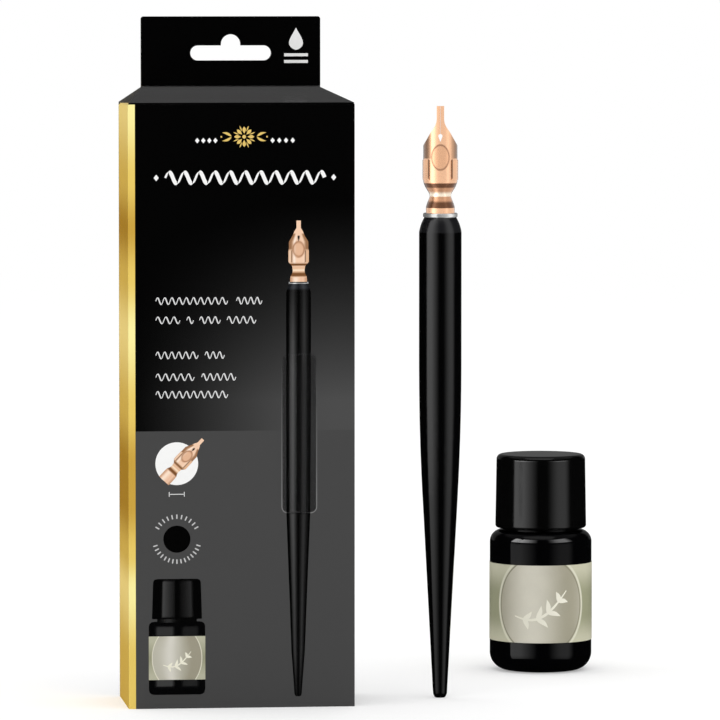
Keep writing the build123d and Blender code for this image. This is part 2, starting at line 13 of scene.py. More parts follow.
import bpy
import numpy as np
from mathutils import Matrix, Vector

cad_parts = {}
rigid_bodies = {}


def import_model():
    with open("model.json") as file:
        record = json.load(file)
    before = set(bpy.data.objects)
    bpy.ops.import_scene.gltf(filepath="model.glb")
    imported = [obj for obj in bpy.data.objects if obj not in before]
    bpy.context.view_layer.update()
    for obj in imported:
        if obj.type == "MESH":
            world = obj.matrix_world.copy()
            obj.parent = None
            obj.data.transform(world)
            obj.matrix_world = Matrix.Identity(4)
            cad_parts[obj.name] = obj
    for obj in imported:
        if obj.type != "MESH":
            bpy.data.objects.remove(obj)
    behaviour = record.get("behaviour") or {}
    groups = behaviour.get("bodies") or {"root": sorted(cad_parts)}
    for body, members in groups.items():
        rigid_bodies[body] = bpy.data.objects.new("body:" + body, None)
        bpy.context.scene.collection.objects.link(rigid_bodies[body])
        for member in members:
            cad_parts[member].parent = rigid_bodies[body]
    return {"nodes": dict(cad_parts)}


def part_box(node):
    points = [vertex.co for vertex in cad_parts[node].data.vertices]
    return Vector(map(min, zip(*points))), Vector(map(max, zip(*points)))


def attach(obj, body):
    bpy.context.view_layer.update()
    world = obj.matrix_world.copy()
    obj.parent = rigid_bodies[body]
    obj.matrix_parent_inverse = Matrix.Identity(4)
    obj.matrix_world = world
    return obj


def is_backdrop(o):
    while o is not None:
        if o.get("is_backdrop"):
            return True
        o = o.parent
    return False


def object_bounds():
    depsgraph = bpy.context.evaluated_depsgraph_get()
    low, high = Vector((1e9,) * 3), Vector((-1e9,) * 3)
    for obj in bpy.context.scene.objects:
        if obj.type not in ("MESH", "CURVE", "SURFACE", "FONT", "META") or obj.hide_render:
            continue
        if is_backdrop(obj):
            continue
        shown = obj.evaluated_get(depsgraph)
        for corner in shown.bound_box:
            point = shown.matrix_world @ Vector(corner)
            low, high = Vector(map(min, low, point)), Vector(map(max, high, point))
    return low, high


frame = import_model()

NODES = frame["nodes"]
CAD_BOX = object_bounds()
print("nodes:", len(NODES), "box in mm:", [[round(v * 1000, 1) for v in corner] for corner in CAD_BOX])

# %% [markdown]
# ## Where things are
#
# Everything below is placed from the boxes of the solids, so a print follows its panel when the panel
# moves. Lengths are in millimetres here, because that is how a printer or a toolmaker thinks of them, and
# they become metres only when a mesh is written.

# %% Places read from the solids
MM = 0.001


def corner(node, end):
    """Lowest (end 0) or highest (end 1) corner of a solid, in millimetres."""
    return np.array(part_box(node)[end]) / MM


def axis_of(node):
    """x and y of the upright line through the middle of a solid."""
    return ((corner(node, 0) + corner(node, 1))[:2] / 2).tolist()


CARTON_LEFT, CARTON_FRONT, _ = corner("front_panel", 0)
CARTON_RIGHT, _, CARTON_TOP = corner("front_panel", 1)
CARTON_BACK = corner("back_panel", 1)[1]
TAB_FRONT, TAB_TOP = corner("hang_tab_doubler", 0)[1], corner("hang_tab_doubler", 1)[2]
PEN_AXIS, BOTTLE_AXIS = axis_of("ferrule"), axis_of("bottle_label")
LABEL_RADIUS = (corner("bottle_label", 1) - corner("bottle_label", 0))[0] / 2
LABEL_FOOT, LABEL_HEAD = corner("bottle_label", 0)[2], corner("bottle_label", 1)[2]
print("carton", CARTON_LEFT, CARTON_RIGHT, CARTON_FRONT, CARTON_BACK, "label radius", LABEL_RADIUS)

# %% [markdown]
# ## Node helpers
#
# A finish in Blender is a small tree of nodes, and a few helpers keep the trees short to write. A `Wire`
# is an output of a node. A sum that is written with it, such as `(wire - 0.5) * 2`, adds the Math nodes
# that work it out. Where an input is given a wire it is linked, and where it is given a number it is set.

# %% Wires that can be added, multiplied and compared
def math_node(operation, swapped=False):
    """A method that adds one Math node; `swapped` puts the other value first."""
    return lambda wire, *other: calc(operation, *((*other, wire) if swapped else (wire, *other)))


class Wire:
    """An output of a shader node, and the tree that it is in."""

    def __init__(self, socket):
        self.socket, self.tree = socket, socket.id_data

    __add__, __mul__, __abs__ = map(math_node, ("ADD", "MULTIPLY", "ABSOLUTE"))
    __sub__, __rsub__ = math_node("SUBTRACT"), math_node("SUBTRACT", swapped=True)
    __truediv__, __rtruediv__ = math_node("DIVIDE"), math_node("DIVIDE", swapped=True)
    __lt__, __gt__ = math_node("LESS_THAN"), math_node("GREATER_THAN")


def fill(socket, value):
    """Links a wire to an input, or sets a number or colour."""
    if isinstance(value, Wire):
        value.tree.links.new(value.socket, socket)
    else:
        socket.default_value = value


def new_node(tree, kind, values=None, **settings):
    """Adds a shader node; `values` go to its inputs by name or number, `settings` to its options."""
    node = tree.nodes.new("ShaderNode" + kind)
    for name, value in settings.items():
        setattr(node, name, value)
    for name, value in (values or {}).items():
        fill(node.inputs[name], value)
    return node


def add(tree, kind, values=None, output=0, **settings):
    """Adds a shader node and gives one of its outputs."""
    return Wire(new_node(tree, kind, values, **settings).outputs[output])


def outputs(node):
    return {socket.name: Wire(socket) for socket in node.outputs if socket.name}


def calc(operation, *values):
    """One Math node, in the tree of the wires that it is given."""
    tree = next(value.tree for value in values if isinstance(value, Wire))
    return add(tree, "Math", dict(enumerate(values)), operation=operation)


print("wires ready")

# %% Helpers for vectors, colours and ramps
def to_linear(screen):
    """Linear light of screen values 0 to 1: ((v + 0.055) / 1.055)^2.4, or v / 12.92 near black."""
    return np.where(screen < 0.04045, screen / 12.92, ((screen + 0.055) / 1.055) ** 2.4)


def srgb(red, green, blue):
    """Linear colour of a screen colour in 0 to 255."""
    return (*to_linear(np.array([red, green, blue]) / 255), 1.0)


def dot(vector, direction):
    return add(vector.tree, "VectorMath", {0: vector, 1: direction}, "Value", operation="DOT_PRODUCT")


def length(a, b):
    """The root of a squared plus b squared."""
    return calc("SQRT", a * a + b * b)


def shade(colour, factor):
    """The colour times a number."""
    return add(colour.tree, "VectorMath", {0: colour, "Scale": factor}, operation="SCALE")


def blend(factor, low, high):
    """Colour `low` where the factor is 0 and `high` where it is 1."""
    return add(factor.tree, "Mix", {0: factor, 6: low, 7: high}, 2, data_type="RGBA")


def spread(value, low, high, to_low=0.0, to_high=1.0, smooth=True):
    """Carries low..high to to_low..to_high and stays flat outside."""
    inputs = dict(enumerate((value, low, high, to_low, to_high)))
    return add(value.tree, "MapRange", inputs, interpolation_type="SMOOTHSTEP" if smooth else "LINEAR")


def zone(value, low, high, soft, soft_above=None):
    """1 between two values; each edge fades over twice its softness, which may differ above."""
    above = soft if soft_above is None else soft_above
    return spread(value, low - soft, low + soft) * spread(value, high + above, high - above)


def bump(height, strength, depth):
    """A bump that follows a height; its depth is in millimetres."""
    return add(height.tree, "Bump", {"Height": height, "Strength": strength, "Distance": depth * MM})


def in_mm(tree):
    """The point being shaded, in millimetres, whole and as x, y and z."""
    point = shade(add(tree, "TexCoord", output="Object"), 1 / MM)
    return point, *map(Wire, new_node(tree, "SeparateXYZ", {0: point}).outputs)


print("helpers ready; mid grey 128 is", round(srgb(128, 128, 128)[0], 3), "in linear light")

# %% Helpers for materials and groups
def bare_material(name):
    """A new material with nothing but its output."""
    material = bpy.data.materials.new(name)
    material.use_nodes = True
    tree = material.node_tree
    tree.nodes.clear()
    return material, tree, new_node(tree, "OutputMaterial").inputs[0]


def connect(shader, **values):
    """Fills a shader's inputs; base_color means Base Color, and ior means IOR."""
    for word, value in values.items():
        fill(shader.inputs[word.replace("_", " ").title().replace("Ior", "IOR")], value)


def finish_tree(name, **values):
    """A new material with one Principled shader, whose inputs take the values given."""
    material, tree, output = bare_material(name)
    shader = new_node(tree, "BsdfPrincipled")
    connect(shader, **values)
    fill(output, Wire(shader.outputs[0]))
    return material, tree, shader


def new_group(name, inputs, results):
    """An empty node group; each socket is name: kind or name: (kind, default)."""
    group = bpy.data.node_groups.new(name, "ShaderNodeTree")
    for sockets, way in ((inputs, "INPUT"), (results, "OUTPUT")):
        for label, kind in sockets.items():
            kind, start = kind if isinstance(kind, tuple) else (kind, None)
            made = group.interface.new_socket(label, in_out=way, socket_type="NodeSocket" + kind)
            if start is not None:
                made.default_value = start
    return group, outputs(group.nodes.new("NodeGroupInput")), group.nodes.new("NodeGroupOutput").inputs


def use_group(group, point, **values):
    """Adds a group at a point and gives its outputs by name; Coarse_mm means Coarse mm."""
    node = point.tree.nodes.new("ShaderNodeGroup")
    node.node_tree = group
    for word, value in {"Point": point, **values}.items():
        fill(node.inputs[word.replace("_", " ")], value)
    return outputs(node)


print("node groups before any finish:", len(bpy.data.node_groups))

# %% Helpers that dress solids and add objects
def dress(material, *names):
    """Puts the material in every slot of the solids named."""
    for name in names:
        for slot in NODES[name].material_slots:
            slot.material = material


def linked(name, data):
    """A new object in the scene."""
    thing = bpy.data.objects.new(name, data)
    bpy.context.scene.collection.objects.link(thing)
    return thing


def mesh_object(name, points, faces, material):
    mesh = bpy.data.meshes.new(name)
    mesh.from_pydata(points.tolist(), [], faces.tolist())
    mesh.materials.append(material)
    return linked(name, mesh)


print("materials before any finish:", len(bpy.data.materials))

# %% [markdown]
# ## Surface character that several finishes share
#
# Nothing that has been made and handled is perfectly even. Paper has fibres, varnish has a faint orange
# peel, lacquer and moulded plastic carry soft smears and a few rubbed spots. One group gives all of these:
# it sums a coarse and a fine noise, and each finish chooses the size and how strongly it shows. A second
# group gives the fine parallel lines that polishing or turning leaves on metal, by squeezing a noise flat
# along one direction.

# %% Shared group: uneven surface
def around_one(noise, amount):
    """A factor that strays from 1 by up to the amount."""
    return (noise - 0.5) * amount * 2.0 + 1.0


UNEVEN, given, made = new_group(
    "uneven surface",
    {"Point": "Vector", "Coarse mm": ("Float", 8.0), "Fine mm": ("Float", 0.6), "Amount": ("Float", 0.1)},
    {"Factor": "Float", "Height": "Float"},
)
coarse, fine = (
    add(UNEVEN, "TexNoise", {"Vector": given["Point"], "Scale": 1.0 / given[size], "Detail": detail}, "Fac")
    for size, detail in (("Coarse mm", 3.0), ("Fine mm", 2.0))
)
both = coarse * 0.6 + fine * 0.4
fill(made["Factor"], around_one(both, given["Amount"]))
fill(made["Height"], both)
print("group", UNEVEN.name, "sockets", [s.name for s in UNEVEN.interface.items_tree])

# %% Shared group: polishing lines
LINES, given, made = new_group(
    "polishing lines",
    {"Point": "Vector", "Stretch": ("Vector", (1.0, 1.0, 1.0)), "Amount": ("Float", 0.1)},
    {"Factor": "Float", "Height": "Float"},
)
squeezed = add(LINES, "VectorMath", {0: given["Point"], 1: given["Stretch"]}, operation="MULTIPLY")
grain = add(LINES, "TexNoise", {"Vector": squeezed, "Scale": 1.0, "Detail": 4.0, "Roughness": 0.6}, "Fac")
fill(made["Factor"], around_one(grain, given["Amount"]))
fill(made["Height"], grain)
print("group", LINES.name, "made")

# %% [markdown]
# ## Printed board
#
# Folding boxboard is white pulp, printed and varnished on one face only. So a panel shows its print
# outside, and white on its inner face and wherever a knife has cut it. The mask that tells the two apart
# measures how deep a point lies under the panel's outer planes: within a tenth of a millimetre it is
# print, also round a crease, and deeper it is bare pulp. Uncoated pulp is matt with fibres in it, and the
# varnish over the print is smooth, so the same mask drives colour, roughness and bump.

# %% Shared group: printed skin on white pulp
PULP_ROUGHNESS, SKIN_DEPTH = 0.75, 0.12

BOARD, given, made = new_group(
    "printed board",
    {"Point": "Vector", "Skin": "Float", "Print": "Color", "Gloss": ("Float", 0.14)},
    {"Color": "Color", "Roughness": "Float", "Height": "Float"},
)
fibres = use_group(UNEVEN, given["Point"], Coarse_mm=6.0, Fine_mm=0.35, Amount=0.12)
peel = use_group(UNEVEN, given["Point"], Coarse_mm=18.0, Fine_mm=1.4, Amount=0.16)
pulp = blend(spread(fibres["Height"], 0.35, 0.65), srgb(214, 210, 202), srgb(236, 233, 227))
bare = 1.0 - given["Skin"]
varnish = given["Gloss"] * peel["Factor"] * given["Skin"]
fill(made["Color"], blend(given["Skin"], pulp, given["Print"]))
fill(made["Roughness"], bare * PULP_ROUGHNESS + varnish)
fill(made["Height"], fibres["Height"] * bare + peel["Height"] * 0.12)
print("group", BOARD.name, "made")

# %% Board finish
NOWHERE = 1e6


def skin_mask(point, planes):
    """1 within the skin's depth under any outer plane; a plane is its outward direction and distance."""
    depths = [dot(point, direction) - distance for direction, distance in planes]
    nearest = depths[0]
    for depth in depths[1:]:
        nearest = calc("MAXIMUM", nearest, depth)
    return nearest > -SKIN_DEPTH


def face_plane(node, toward):
    """Outward direction, and distance in millimetres, of the largest triangle that looks that way."""
    facing = [face for face in NODES[node].data.polygons if face.normal.dot(Vector(toward)) > 0.5]
    best = max(facing, key=lambda face: face.area)
    return tuple(best.normal), best.normal.dot(best.center) / MM


def board_finish(name, nodes, planes, print_colour, gloss=0.14, printed_above=NOWHERE):
    """Dresses nodes in printed board; `print_colour` gives the print at x, y, z in millimetres."""
    material, tree, shader = finish_tree(name, diffuse_roughness=0.3)
    point, x, y, z = in_mm(tree)
    skin = calc("MAXIMUM", skin_mask(point, planes), z > printed_above)
    board = use_group(BOARD, point, Skin=skin, Print=print_colour(x, y, z), Gloss=gloss)
    connect(shader, base_color=board["Color"], roughness=board["Roughness"])
    connect(shader, normal=bump(board["Height"], 0.12, 0.04))
    dress(material, *nodes)
    print(name, "on", *nodes)


print("board finish ready; its printed skin is", SKIN_DEPTH, "mm deep")

# %% [markdown]
# ## The print on the carton's walls
#
# The ground is black at the head of the carton and clears into a dark grey that grows towards the
# right, then stops at a straight edge below which it is one flat grey. A narrow gold stripe runs up the
# left edge and round the corner, over the whole left wall. Printed gold is not one colour: it is drawn as
# bands of light and dark that suggest polished metal. A ramp along the height gives them, and the wall,
# which is seen at a slant, has the same bands in deeper tones: painted shade, the same gold darkened as if
# turned from the light.

# %% Black that clears to grey, and the gold
OUT_LEFT, OUT_RIGHT = ((-1, 0, 0), -CARTON_LEFT), ((1, 0, 0), CARTON_RIGHT)
OUT_FRONT, OUT_BACK = ((0, -1, 0), -CARTON_FRONT), ((0, 1, 0), CARTON_BACK)
OUT_TOP, OUT_BOTTOM = ((0, 0, 1), CARTON_TOP), ((0, 0, -1), 0.0)
# The top flap's black is printed a shade lighter: a painted sheen for the light its slope mirrors.
BLACK_INK, FLAP_SHEEN_GREY, SHOULDER_GREY = srgb(4, 4, 4), srgb(18, 18, 18), srgb(92, 92, 92)
GREY_EDGE, CLEARS_FROM, CLEARS_OVER = 82.65, 152.5, 61.0
RISES_FROM, RISES_TO, CLEARED, FLAT_GREY = -2.4, 64.5, 0.31, 0.29
GOLD_STRIPE, BLACK_CREASE, SHOULDER_DEPTH = 2.1, 0.08, 0.25
GOLD_STOPS = (
    (0, 1), (15, 1), (35.4, 2), (46, 1), (60.6, 0), (73, 0),
    (89, 1), (112, 2), (128, 1), (142.9, 0), (157, 1), (178.5, 2),
)
BRIGHT_GOLD = (srgb(208, 168, 66), srgb(237, 208, 106), srgb(254, 244, 167))
# Deeper gold for the wall: painted shade, the same gold as if turned from the light.
SHADED_GOLD = (srgb(190, 141, 30), srgb(229, 189, 80), srgb(255, 226, 135))
print("gold ramp with", len(GOLD_STOPS), "stops up to", GOLD_STOPS[-1][0], "mm")

# %% Prints that follow the point
def gold_print(z, tones):
    """A ramp up the height; each stop is a height in millimetres and 0, 1 or 2 for dark, middle or light."""
    ramp = new_node(z.tree, "ValToRGB", {0: z / CARTON_TOP})
    stops = ramp.color_ramp.elements
    ramp.color_ramp.interpolation = "EASE"
    stops.remove(stops[1])
    for number, (height, tone_number) in enumerate(GOLD_STOPS):
        stop = stops[0] if number == 0 else stops.new(height / CARTON_TOP)
        stop.position, stop.color = height / CARTON_TOP, tones[tone_number]
    return Wire(ramp.outputs[0])


def front_print(x, y, z):
    """Screen value v = CLEARED H t^(2 - H), with H a quarter sine across the width and t the way down,
    and FLAT_GREY below the straight edge. Its linear light is ((v + 0.055) / 1.055)^2.4."""
    across = calc("SINE", spread(x - CARTON_LEFT, RISES_FROM, RISES_TO, 0.0, pi / 2, smooth=False))
    down = spread(z, CLEARS_FROM, CLEARS_FROM - CLEARS_OVER, smooth=False)
    clearing = calc("POWER", down, 2.0 - across) * (across * CLEARED)
    below = z < GREY_EDGE
    value = clearing * (1.0 - below) + below * FLAT_GREY
    grey = calc("MAXIMUM", calc("POWER", (value + 0.055) / 1.055, 2.4), BLACK_INK[0])
    ground = add(x.tree, "CombineColor", {0: grey, 1: grey, 2: grey})
    return blend(x < CARTON_LEFT + GOLD_STRIPE, ground, gold_print(z, BRIGHT_GOLD))


# The wall's gold bands are print, darkened by painted shade.
def wall_print_in_shade(x, y, z):
    return gold_print(z, SHADED_GOLD)


def black_print(x, y, z):
    return BLACK_INK


def flap_print_and_sheen(x, y, z):
    """A shade lighter than black, a painted sheen over what the sloping flap mirrors; the front crease stays
    black.
    """
    return blend(y < CARTON_FRONT + BLACK_CREASE, FLAP_SHEEN_GREY, BLACK_INK)


def back_print(x, y, z):
    """Black outside; the shoulders beside the top flap are grey on the side that faces front."""
    return blend(y < CARTON_BACK - SHOULDER_DEPTH, BLACK_INK, SHOULDER_GREY)


print("prints ready; the grey's straight edge is", GREY_EDGE, "mm up")

# %% Walls, tab and base
side_head = corner("left_side_panel", 1)[2] - 0.6
left_wall, right_wall = ("left_side_panel", "dust_flap_left"), ("right_side_panel", "dust_flap_right")
tab_planes = [((0, -1, 0), -TAB_FRONT), ((0, 0, 1), TAB_TOP)]
board_finish("front_print", ["front_panel"], [OUT_FRONT, OUT_LEFT, OUT_RIGHT, OUT_TOP], front_print)
# The left wall's gold is print with painted shade in its deeper tones.
board_finish("gold_print", left_wall, [OUT_LEFT], wall_print_in_shade, gloss=0.3, printed_above=side_head)
board_finish("side_print", right_wall, [OUT_RIGHT], black_print, printed_above=side_head)
back_planes, shoulder_foot = [OUT_BACK, OUT_LEFT, OUT_RIGHT], CARTON_TOP - 2.0
board_finish("back_print", ["back_panel"], back_planes, back_print, printed_above=shoulder_foot)
board_finish("tab_print", ["hang_tab_doubler"], tab_planes, black_print)
board_finish("base_print", ["base_front_flap"], [OUT_BOTTOM, OUT_FRONT], black_print)

# %% [markdown]
# The top flap slopes up to the back and the tuck flap hangs down from it, inside the back panel, leaning
# a little. Their printed planes are the largest triangles that look up and back. The unprinted pieces,
# which are the glue flap, the base flaps and the fitment that holds the pen and bottle in the box, are
# white pulp all over: a skin plane far away keeps their mask at nought.

# %% Flaps and plain white board
flap_planes = [face_plane("top_flap", way) for way in ((0, 0, 1), (0, -1, 0), (0, 1, 0))]
tuck_planes = [face_plane("tuck_flap", (0, 1, 0))]
for (_, sine, cosine), _ in (flap_planes[0], tuck_planes[0]):
    print("printed plane leans", round(np.degrees(np.arctan2(-sine, cosine)), 2), "degrees")
board_finish("flap_print_and_sheen", ["top_flap"], flap_planes, flap_print_and_sheen)
board_finish("tuck_print", ["tuck_flap"], tuck_planes, black_print)
unprinted = ("glue_flap", "base_rear_flap", "base_side_flap_left", "base_side_flap_right", "card_fitment")
board_finish("white_pulp", unprinted, [((0, 0, 1), NOWHERE)], black_print)

# %% [markdown]
# ## Pen: lacquered wood, satin collar, silver ferrule, copper nib
#
# The holder is turned wood under many coats of black lacquer, polished until it mirrors the lamps. Its
# gloss varies very slightly with handling. The collar above it is moulded, a dark charcoal rather than a
# black, with the same soft gloss. These two need hardly any colour, only the right roughness.

# %% Black lacquer and charcoal collar
def uneven_finish(name, nodes, spots, roughness, relief=None, **values):
    """A finish whose gloss and relief follow the uneven surface. Spots are a coarse and a fine size in
    millimetres and an amount, and relief is the strength and depth of a bump."""
    material, tree, shader = finish_tree(name, **values)
    uneven = use_group(UNEVEN, in_mm(tree)[0], Coarse_mm=spots[0], Fine_mm=spots[1], Amount=spots[2])
    connect(shader, roughness=uneven["Factor"] * roughness)
    if relief:
        connect(shader, normal=bump(uneven["Height"], *relief))
    dress(material, *nodes)
    print("finish", name)
    return material, shader, uneven["Factor"]


black = srgb(3, 3, 4)
uneven_finish("pen_lacquer", ["pen_holder"], (14.0, 2.2, 0.35), 0.17, (0.05, 0.05),
              base_color=black, ior=1.5)
uneven_finish("collar_satin", ["collar"], (3.0, 0.3, 0.25), 0.18, (0.08, 0.03),
              base_color=srgb(27, 27, 29), ior=1.5)

# %% [markdown]
# The nib is sheet steel plated with copper and then tumbled, which leaves a warm, slightly blurred
# mirror with fine lines along its length. Painted shade darkens its colour on the oval thumb pad and
# round its rim, down the steep flanks, beside the folds, along the slit and over the waist, most in the
# waist's two hollows, and a painted highlight lies on the band between them: these stand in for shade in
# the creases and for what the curved metal mirrors. The pad's rim is an ellipse, so its distance is the
# length of (x / a, z / b), and the line is drawn where that is close to 1. The reservoir is a strip of the
# same metal bent round the nib, with the same painted shade beside the folds.

# %% Copper plate
PAD_HEIGHT, PAD_WIDTH, PAD_CENTRE = 7.9, 5.5, 163.0
PEN_TURN = radians(7)
PEN_RIGHT = (np.cos(PEN_TURN), -np.sin(PEN_TURN), 0.0)
PEN_FRONT = (-np.sin(PEN_TURN), -np.cos(PEN_TURN), 0.0)
SLIT_FOOT, SLIT_HALF = 169.5, 0.045
# Colours of painted shade beside the folds, on the flanks, along the slit and on the pad and its rim.
PAINTED_FOLD_SHADE, PAINTED_FLANK_SHADE, PAINTED_SLIT_SHADE = srgb(96, 62, 34), srgb(108, 73, 43), srgb(60, 38, 24)
PAD_FACE_SHADE, PAD_RIM_SHADE = srgb(205, 148, 106), srgb(130, 84, 54)


def nib_painted_light(rightwards, forwards, z):
    """Pairs of a weight and the painted shade or painted highlight that it brings, in the order they are
    laid.
    """
    pad = length(rightwards / (PAD_WIDTH / 2), (z - PAD_CENTRE) / (PAD_HEIGHT / 2))
    front = forwards > 0.0
    off_light = abs(rightwards - 0.3)
    flank_shade = spread(off_light, 2.9, 3.1) * 0.35 + spread(off_light, 3.0, 4.5) * 0.65
    slit = (abs(rightwards) < SLIT_HALF) * (z > SLIT_FOOT)
    # Painted shade on the pad, its rim, the flanks, the waist and the slit, and a painted waist highlight.
    return [
        (spread(pad, 1.0, 0.8) * (front * 0.4), PAD_FACE_SHADE),
        (zone(pad, 0.88, 1.0, 0.07) * (front * 0.85), PAD_RIM_SHADE),
        (flank_shade * zone(z, 162.6, 170.6, 0.2, 0.8) * 0.9, PAINTED_FLANK_SHADE),
        (zone(z, 147.9, 155.3, 0.12), srgb(204, 150, 112)),
        (zone(z, 151.2, 152.4, 0.2, 0.55), srgb(255, 238, 214)),
        (zone(z, 153.85, 155.2, 0.25, 0.1), srgb(100, 58, 24)),
        (zone(z, 147.75, 149.7, 0.1, 0.5), srgb(98, 56, 20)),
        (slit, PAINTED_SLIT_SHADE),
    ]


def copper(name, node, base, with_pad):
    material, tree, shader = finish_tree(name, metallic=0.85, coat_weight=0.6, coat_roughness=0.15)
    point, _, _, z = in_mm(tree)
    lines = use_group(LINES, point, Stretch=(9.0, 9.0, 0.5), Amount=0.3)
    cloud = use_group(UNEVEN, point, Coarse_mm=5.0, Fine_mm=0.5, Amount=0.22)
    warmer = tuple(np.array(base) * (1.06, 1.02, 0.98, 1))
    colour = blend(spread(cloud["Height"], 0.35, 0.65), base, warmer)
    from_axis = add(tree, "VectorMath", {0: point, 1: (*PEN_AXIS, 0.0)}, operation="SUBTRACT")
    rightwards, forwards = dot(from_axis, PEN_RIGHT), dot(from_axis, PEN_FRONT)
    # Painted shade in the gaps beside the folds, on the nib and on the reservoir alike.
    fold_shade = zone(abs(rightwards), 3.3, 3.75, 0.12) * zone(z, 156.6, 162.4, 0.2)
    painted_marks = nib_painted_light(rightwards, forwards, z) if with_pad else []
    for weight, darker in [(fold_shade * 0.85, PAINTED_FOLD_SHADE), *painted_marks]:
        colour = blend(weight, colour, darker)
    connect(shader, base_color=colour, roughness=lines["Factor"] * cloud["Factor"] * 0.26)
    connect(shader, normal=bump(lines["Height"], 0.06, 0.02))
    dress(material, node)
    print(name, "on", node)


copper("copper_plate", "nib", srgb(238, 188, 150), True)
copper("copper_strip", "reservoir", srgb(238, 186, 146), False)

# %% [markdown]
# The ferrule is a turned and plated tube: its lines run round it, so the noise is squeezed along the
# height. The little clip inside it is bare spring steel, greyer and rougher.

# %% Silver ferrule and steel clip
for name, node, base, rough, stretch in (
    ("ferrule_plate", "ferrule", srgb(216, 216, 214), 0.14, (0.4, 0.4, 14.0)),
    ("clip_steel", "nib_clip", srgb(168, 170, 174), 0.32, (6.0, 6.0, 0.6)),
):
    material, tree, shader = finish_tree(name, base_color=base, metallic=0.95)
    lines = use_group(LINES, in_mm(tree)[0], Stretch=stretch, Amount=0.35)
    connect(shader, roughness=lines["Factor"] * rough, normal=bump(lines["Height"], 0.08, 0.02))
    dress(material, node)
    print(name, "on", node)

# %% [markdown]
# ## Bottle: dark glass, ink, paper label, moulded cap
#
# Full of black ink, the bottle shows no light through it anywhere, also at its thick foot, so the glass
# is smoked nearly black and mirror smooth. The cap is a moulded black plastic with a very slight grain.
# The foam liner in the cap is off white with tiny cells.

# %% Glass, ink, cap and liner
uneven_finish("smoked_glass", ["bottle_glass"], (11.0, 3.0, 0.3), 0.07, (0.06, 0.1),
              base_color=black, ior=1.5, specular_ior_level=0.22)
uneven_finish("ink_surface", ["ink"], (9.0, 2.0, 0.2), 0.05, base_color=srgb(6, 6, 9), ior=1.36)
uneven_finish("moulded_cap", ["cap_shell"], (7.0, 0.5, 0.3), 0.13, (0.05, 0.04),
              base_color=srgb(5, 5, 5), ior=1.5)

material, tree, shader = finish_tree("foam_cells", roughness=0.85)
cells = add(tree, "TexVoronoi", {"Vector": in_mm(tree)[0], "Scale": 2.4}, "Distance")
foam = blend(spread(cells, 0.1, 0.7), srgb(206, 204, 198), srgb(232, 230, 225))
connect(shader, base_color=foam, normal=bump(cells, 0.3, 0.1))
dress(material, "cap_liner")
print("finish", material.name)

# %% [markdown]
# The label is coated paper wrapped round the glass, printed in a soft olive grey with a large ring whose
# inside is a little lighter and greyer. Part of that lightness is a painted sheen: inside the ring the
# colour follows a cosine along the paper, lightest a little left of the front and darker to the sides,
# which stands in for the light on the curved paper. To draw on a cylinder, the point is unrolled first:
# its angle about the bottle's axis times the radius is the distance along the paper, and the height is
# the other coordinate. The front of the label faces the camera, which stands eight degrees to the left.
# The ring is a cream line with a fine darker one inside it, each drawn where the distance to the middle
# is right.

# %% Printed paper label
LABEL_TURN, RING_RADIUS, RING_SQUASH, RING_GAP = -8.0, 14.7, 0.93, 0.72
LABEL_START, LABEL_MIDDLE = radians(LABEL_TURN) * LABEL_RADIUS, (LABEL_FOOT + LABEL_HEAD) / 2 - 0.4
material, tree, shader = finish_tree("olive_label", ior=1.45)
point, x, y, z = in_mm(tree)
angle = calc("ARCTAN2", x - BOTTLE_AXIS[0], BOTTLE_AXIS[1] - y)
along, up = angle * LABEL_RADIUS - LABEL_START, z - LABEL_MIDDLE
reach = length(along, up * RING_SQUASH)
# Painted sheen: inside the ring, lightest a little left of the front, darker to the sides.
painted_sheen = calc("COSINE", (along + 3.5) * 0.24)
inner = blend(painted_sheen * 0.5 + 0.5, srgb(168, 163, 142), srgb(224, 220, 204))
outer = blend(spread(abs(up), 3.0, 12.0), srgb(160, 161, 130), srgb(204, 202, 176))
colour = blend(reach < RING_RADIUS, outer, inner)
for radius, half, tone in (
    (RING_RADIUS, 0.4, srgb(222, 220, 198)),
    (RING_RADIUS - RING_GAP, 0.22, srgb(148, 145, 122)),
):
    colour = blend(1.0 - spread(abs(reach - radius), half * 0.6, half * 1.3), colour, tone)
tooth = use_group(UNEVEN, point, Coarse_mm=5.0, Fine_mm=0.3, Amount=0.1)
connect(shader, base_color=shade(colour, tooth["Factor"]), roughness=tooth["Factor"] * 0.45)
connect(shader, normal=bump(tooth["Height"], 0.15, 0.03))
dress(material, "bottle_label")
print("label faces", LABEL_TURN, "degrees; ring radius", RING_RADIUS, "mm on the paper")

# %% [markdown]
# ## The clear film over the pen's picture
#
# A rounded strip of clear film is stuck over the carton's front. Film that thin shows only as a faint
# veil and a bright line along its cut edge, so the material is nearly transparent and its rim, measured
# as the distance to the edge of a rounded rectangle, is a little denser: a painted highlight for the light
# that the cut edge catches.

# %% Clear film
film_low, film_high = corner("clear_patch", 0), corner("clear_patch", 1)
film_half, film_centre = (film_high - film_low) / 2, (film_high + film_low) / 2
FILM_CORNER, FILM_VEIL, FILM_RIM_HIGHLIGHT = 1.8, 0.008, 0.08
material, tree, shader = finish_tree("thin_film", base_color=srgb(120, 120, 122), roughness=0.12, ior=1.5)
_, x, y, z = in_mm(tree)
past_x, past_z = (
    calc("MAXIMUM", abs(value - film_centre[axis]) - (film_half[axis] - FILM_CORNER), 0.0)
    for value, axis in ((x, 0), (z, 2))
)
rim = spread(length(past_x, past_z), FILM_CORNER - 0.36, FILM_CORNER - 0.2)
outer_face = y < film_high[1] - 0.03
# The denser rim is a painted highlight along the film's cut edge.
connect(shader, alpha=outer_face * (rim * FILM_RIM_HIGHLIGHT + FILM_VEIL))
dress(material, "clear_patch")
print("film", np.round(film_half * 2, 2), "mm")

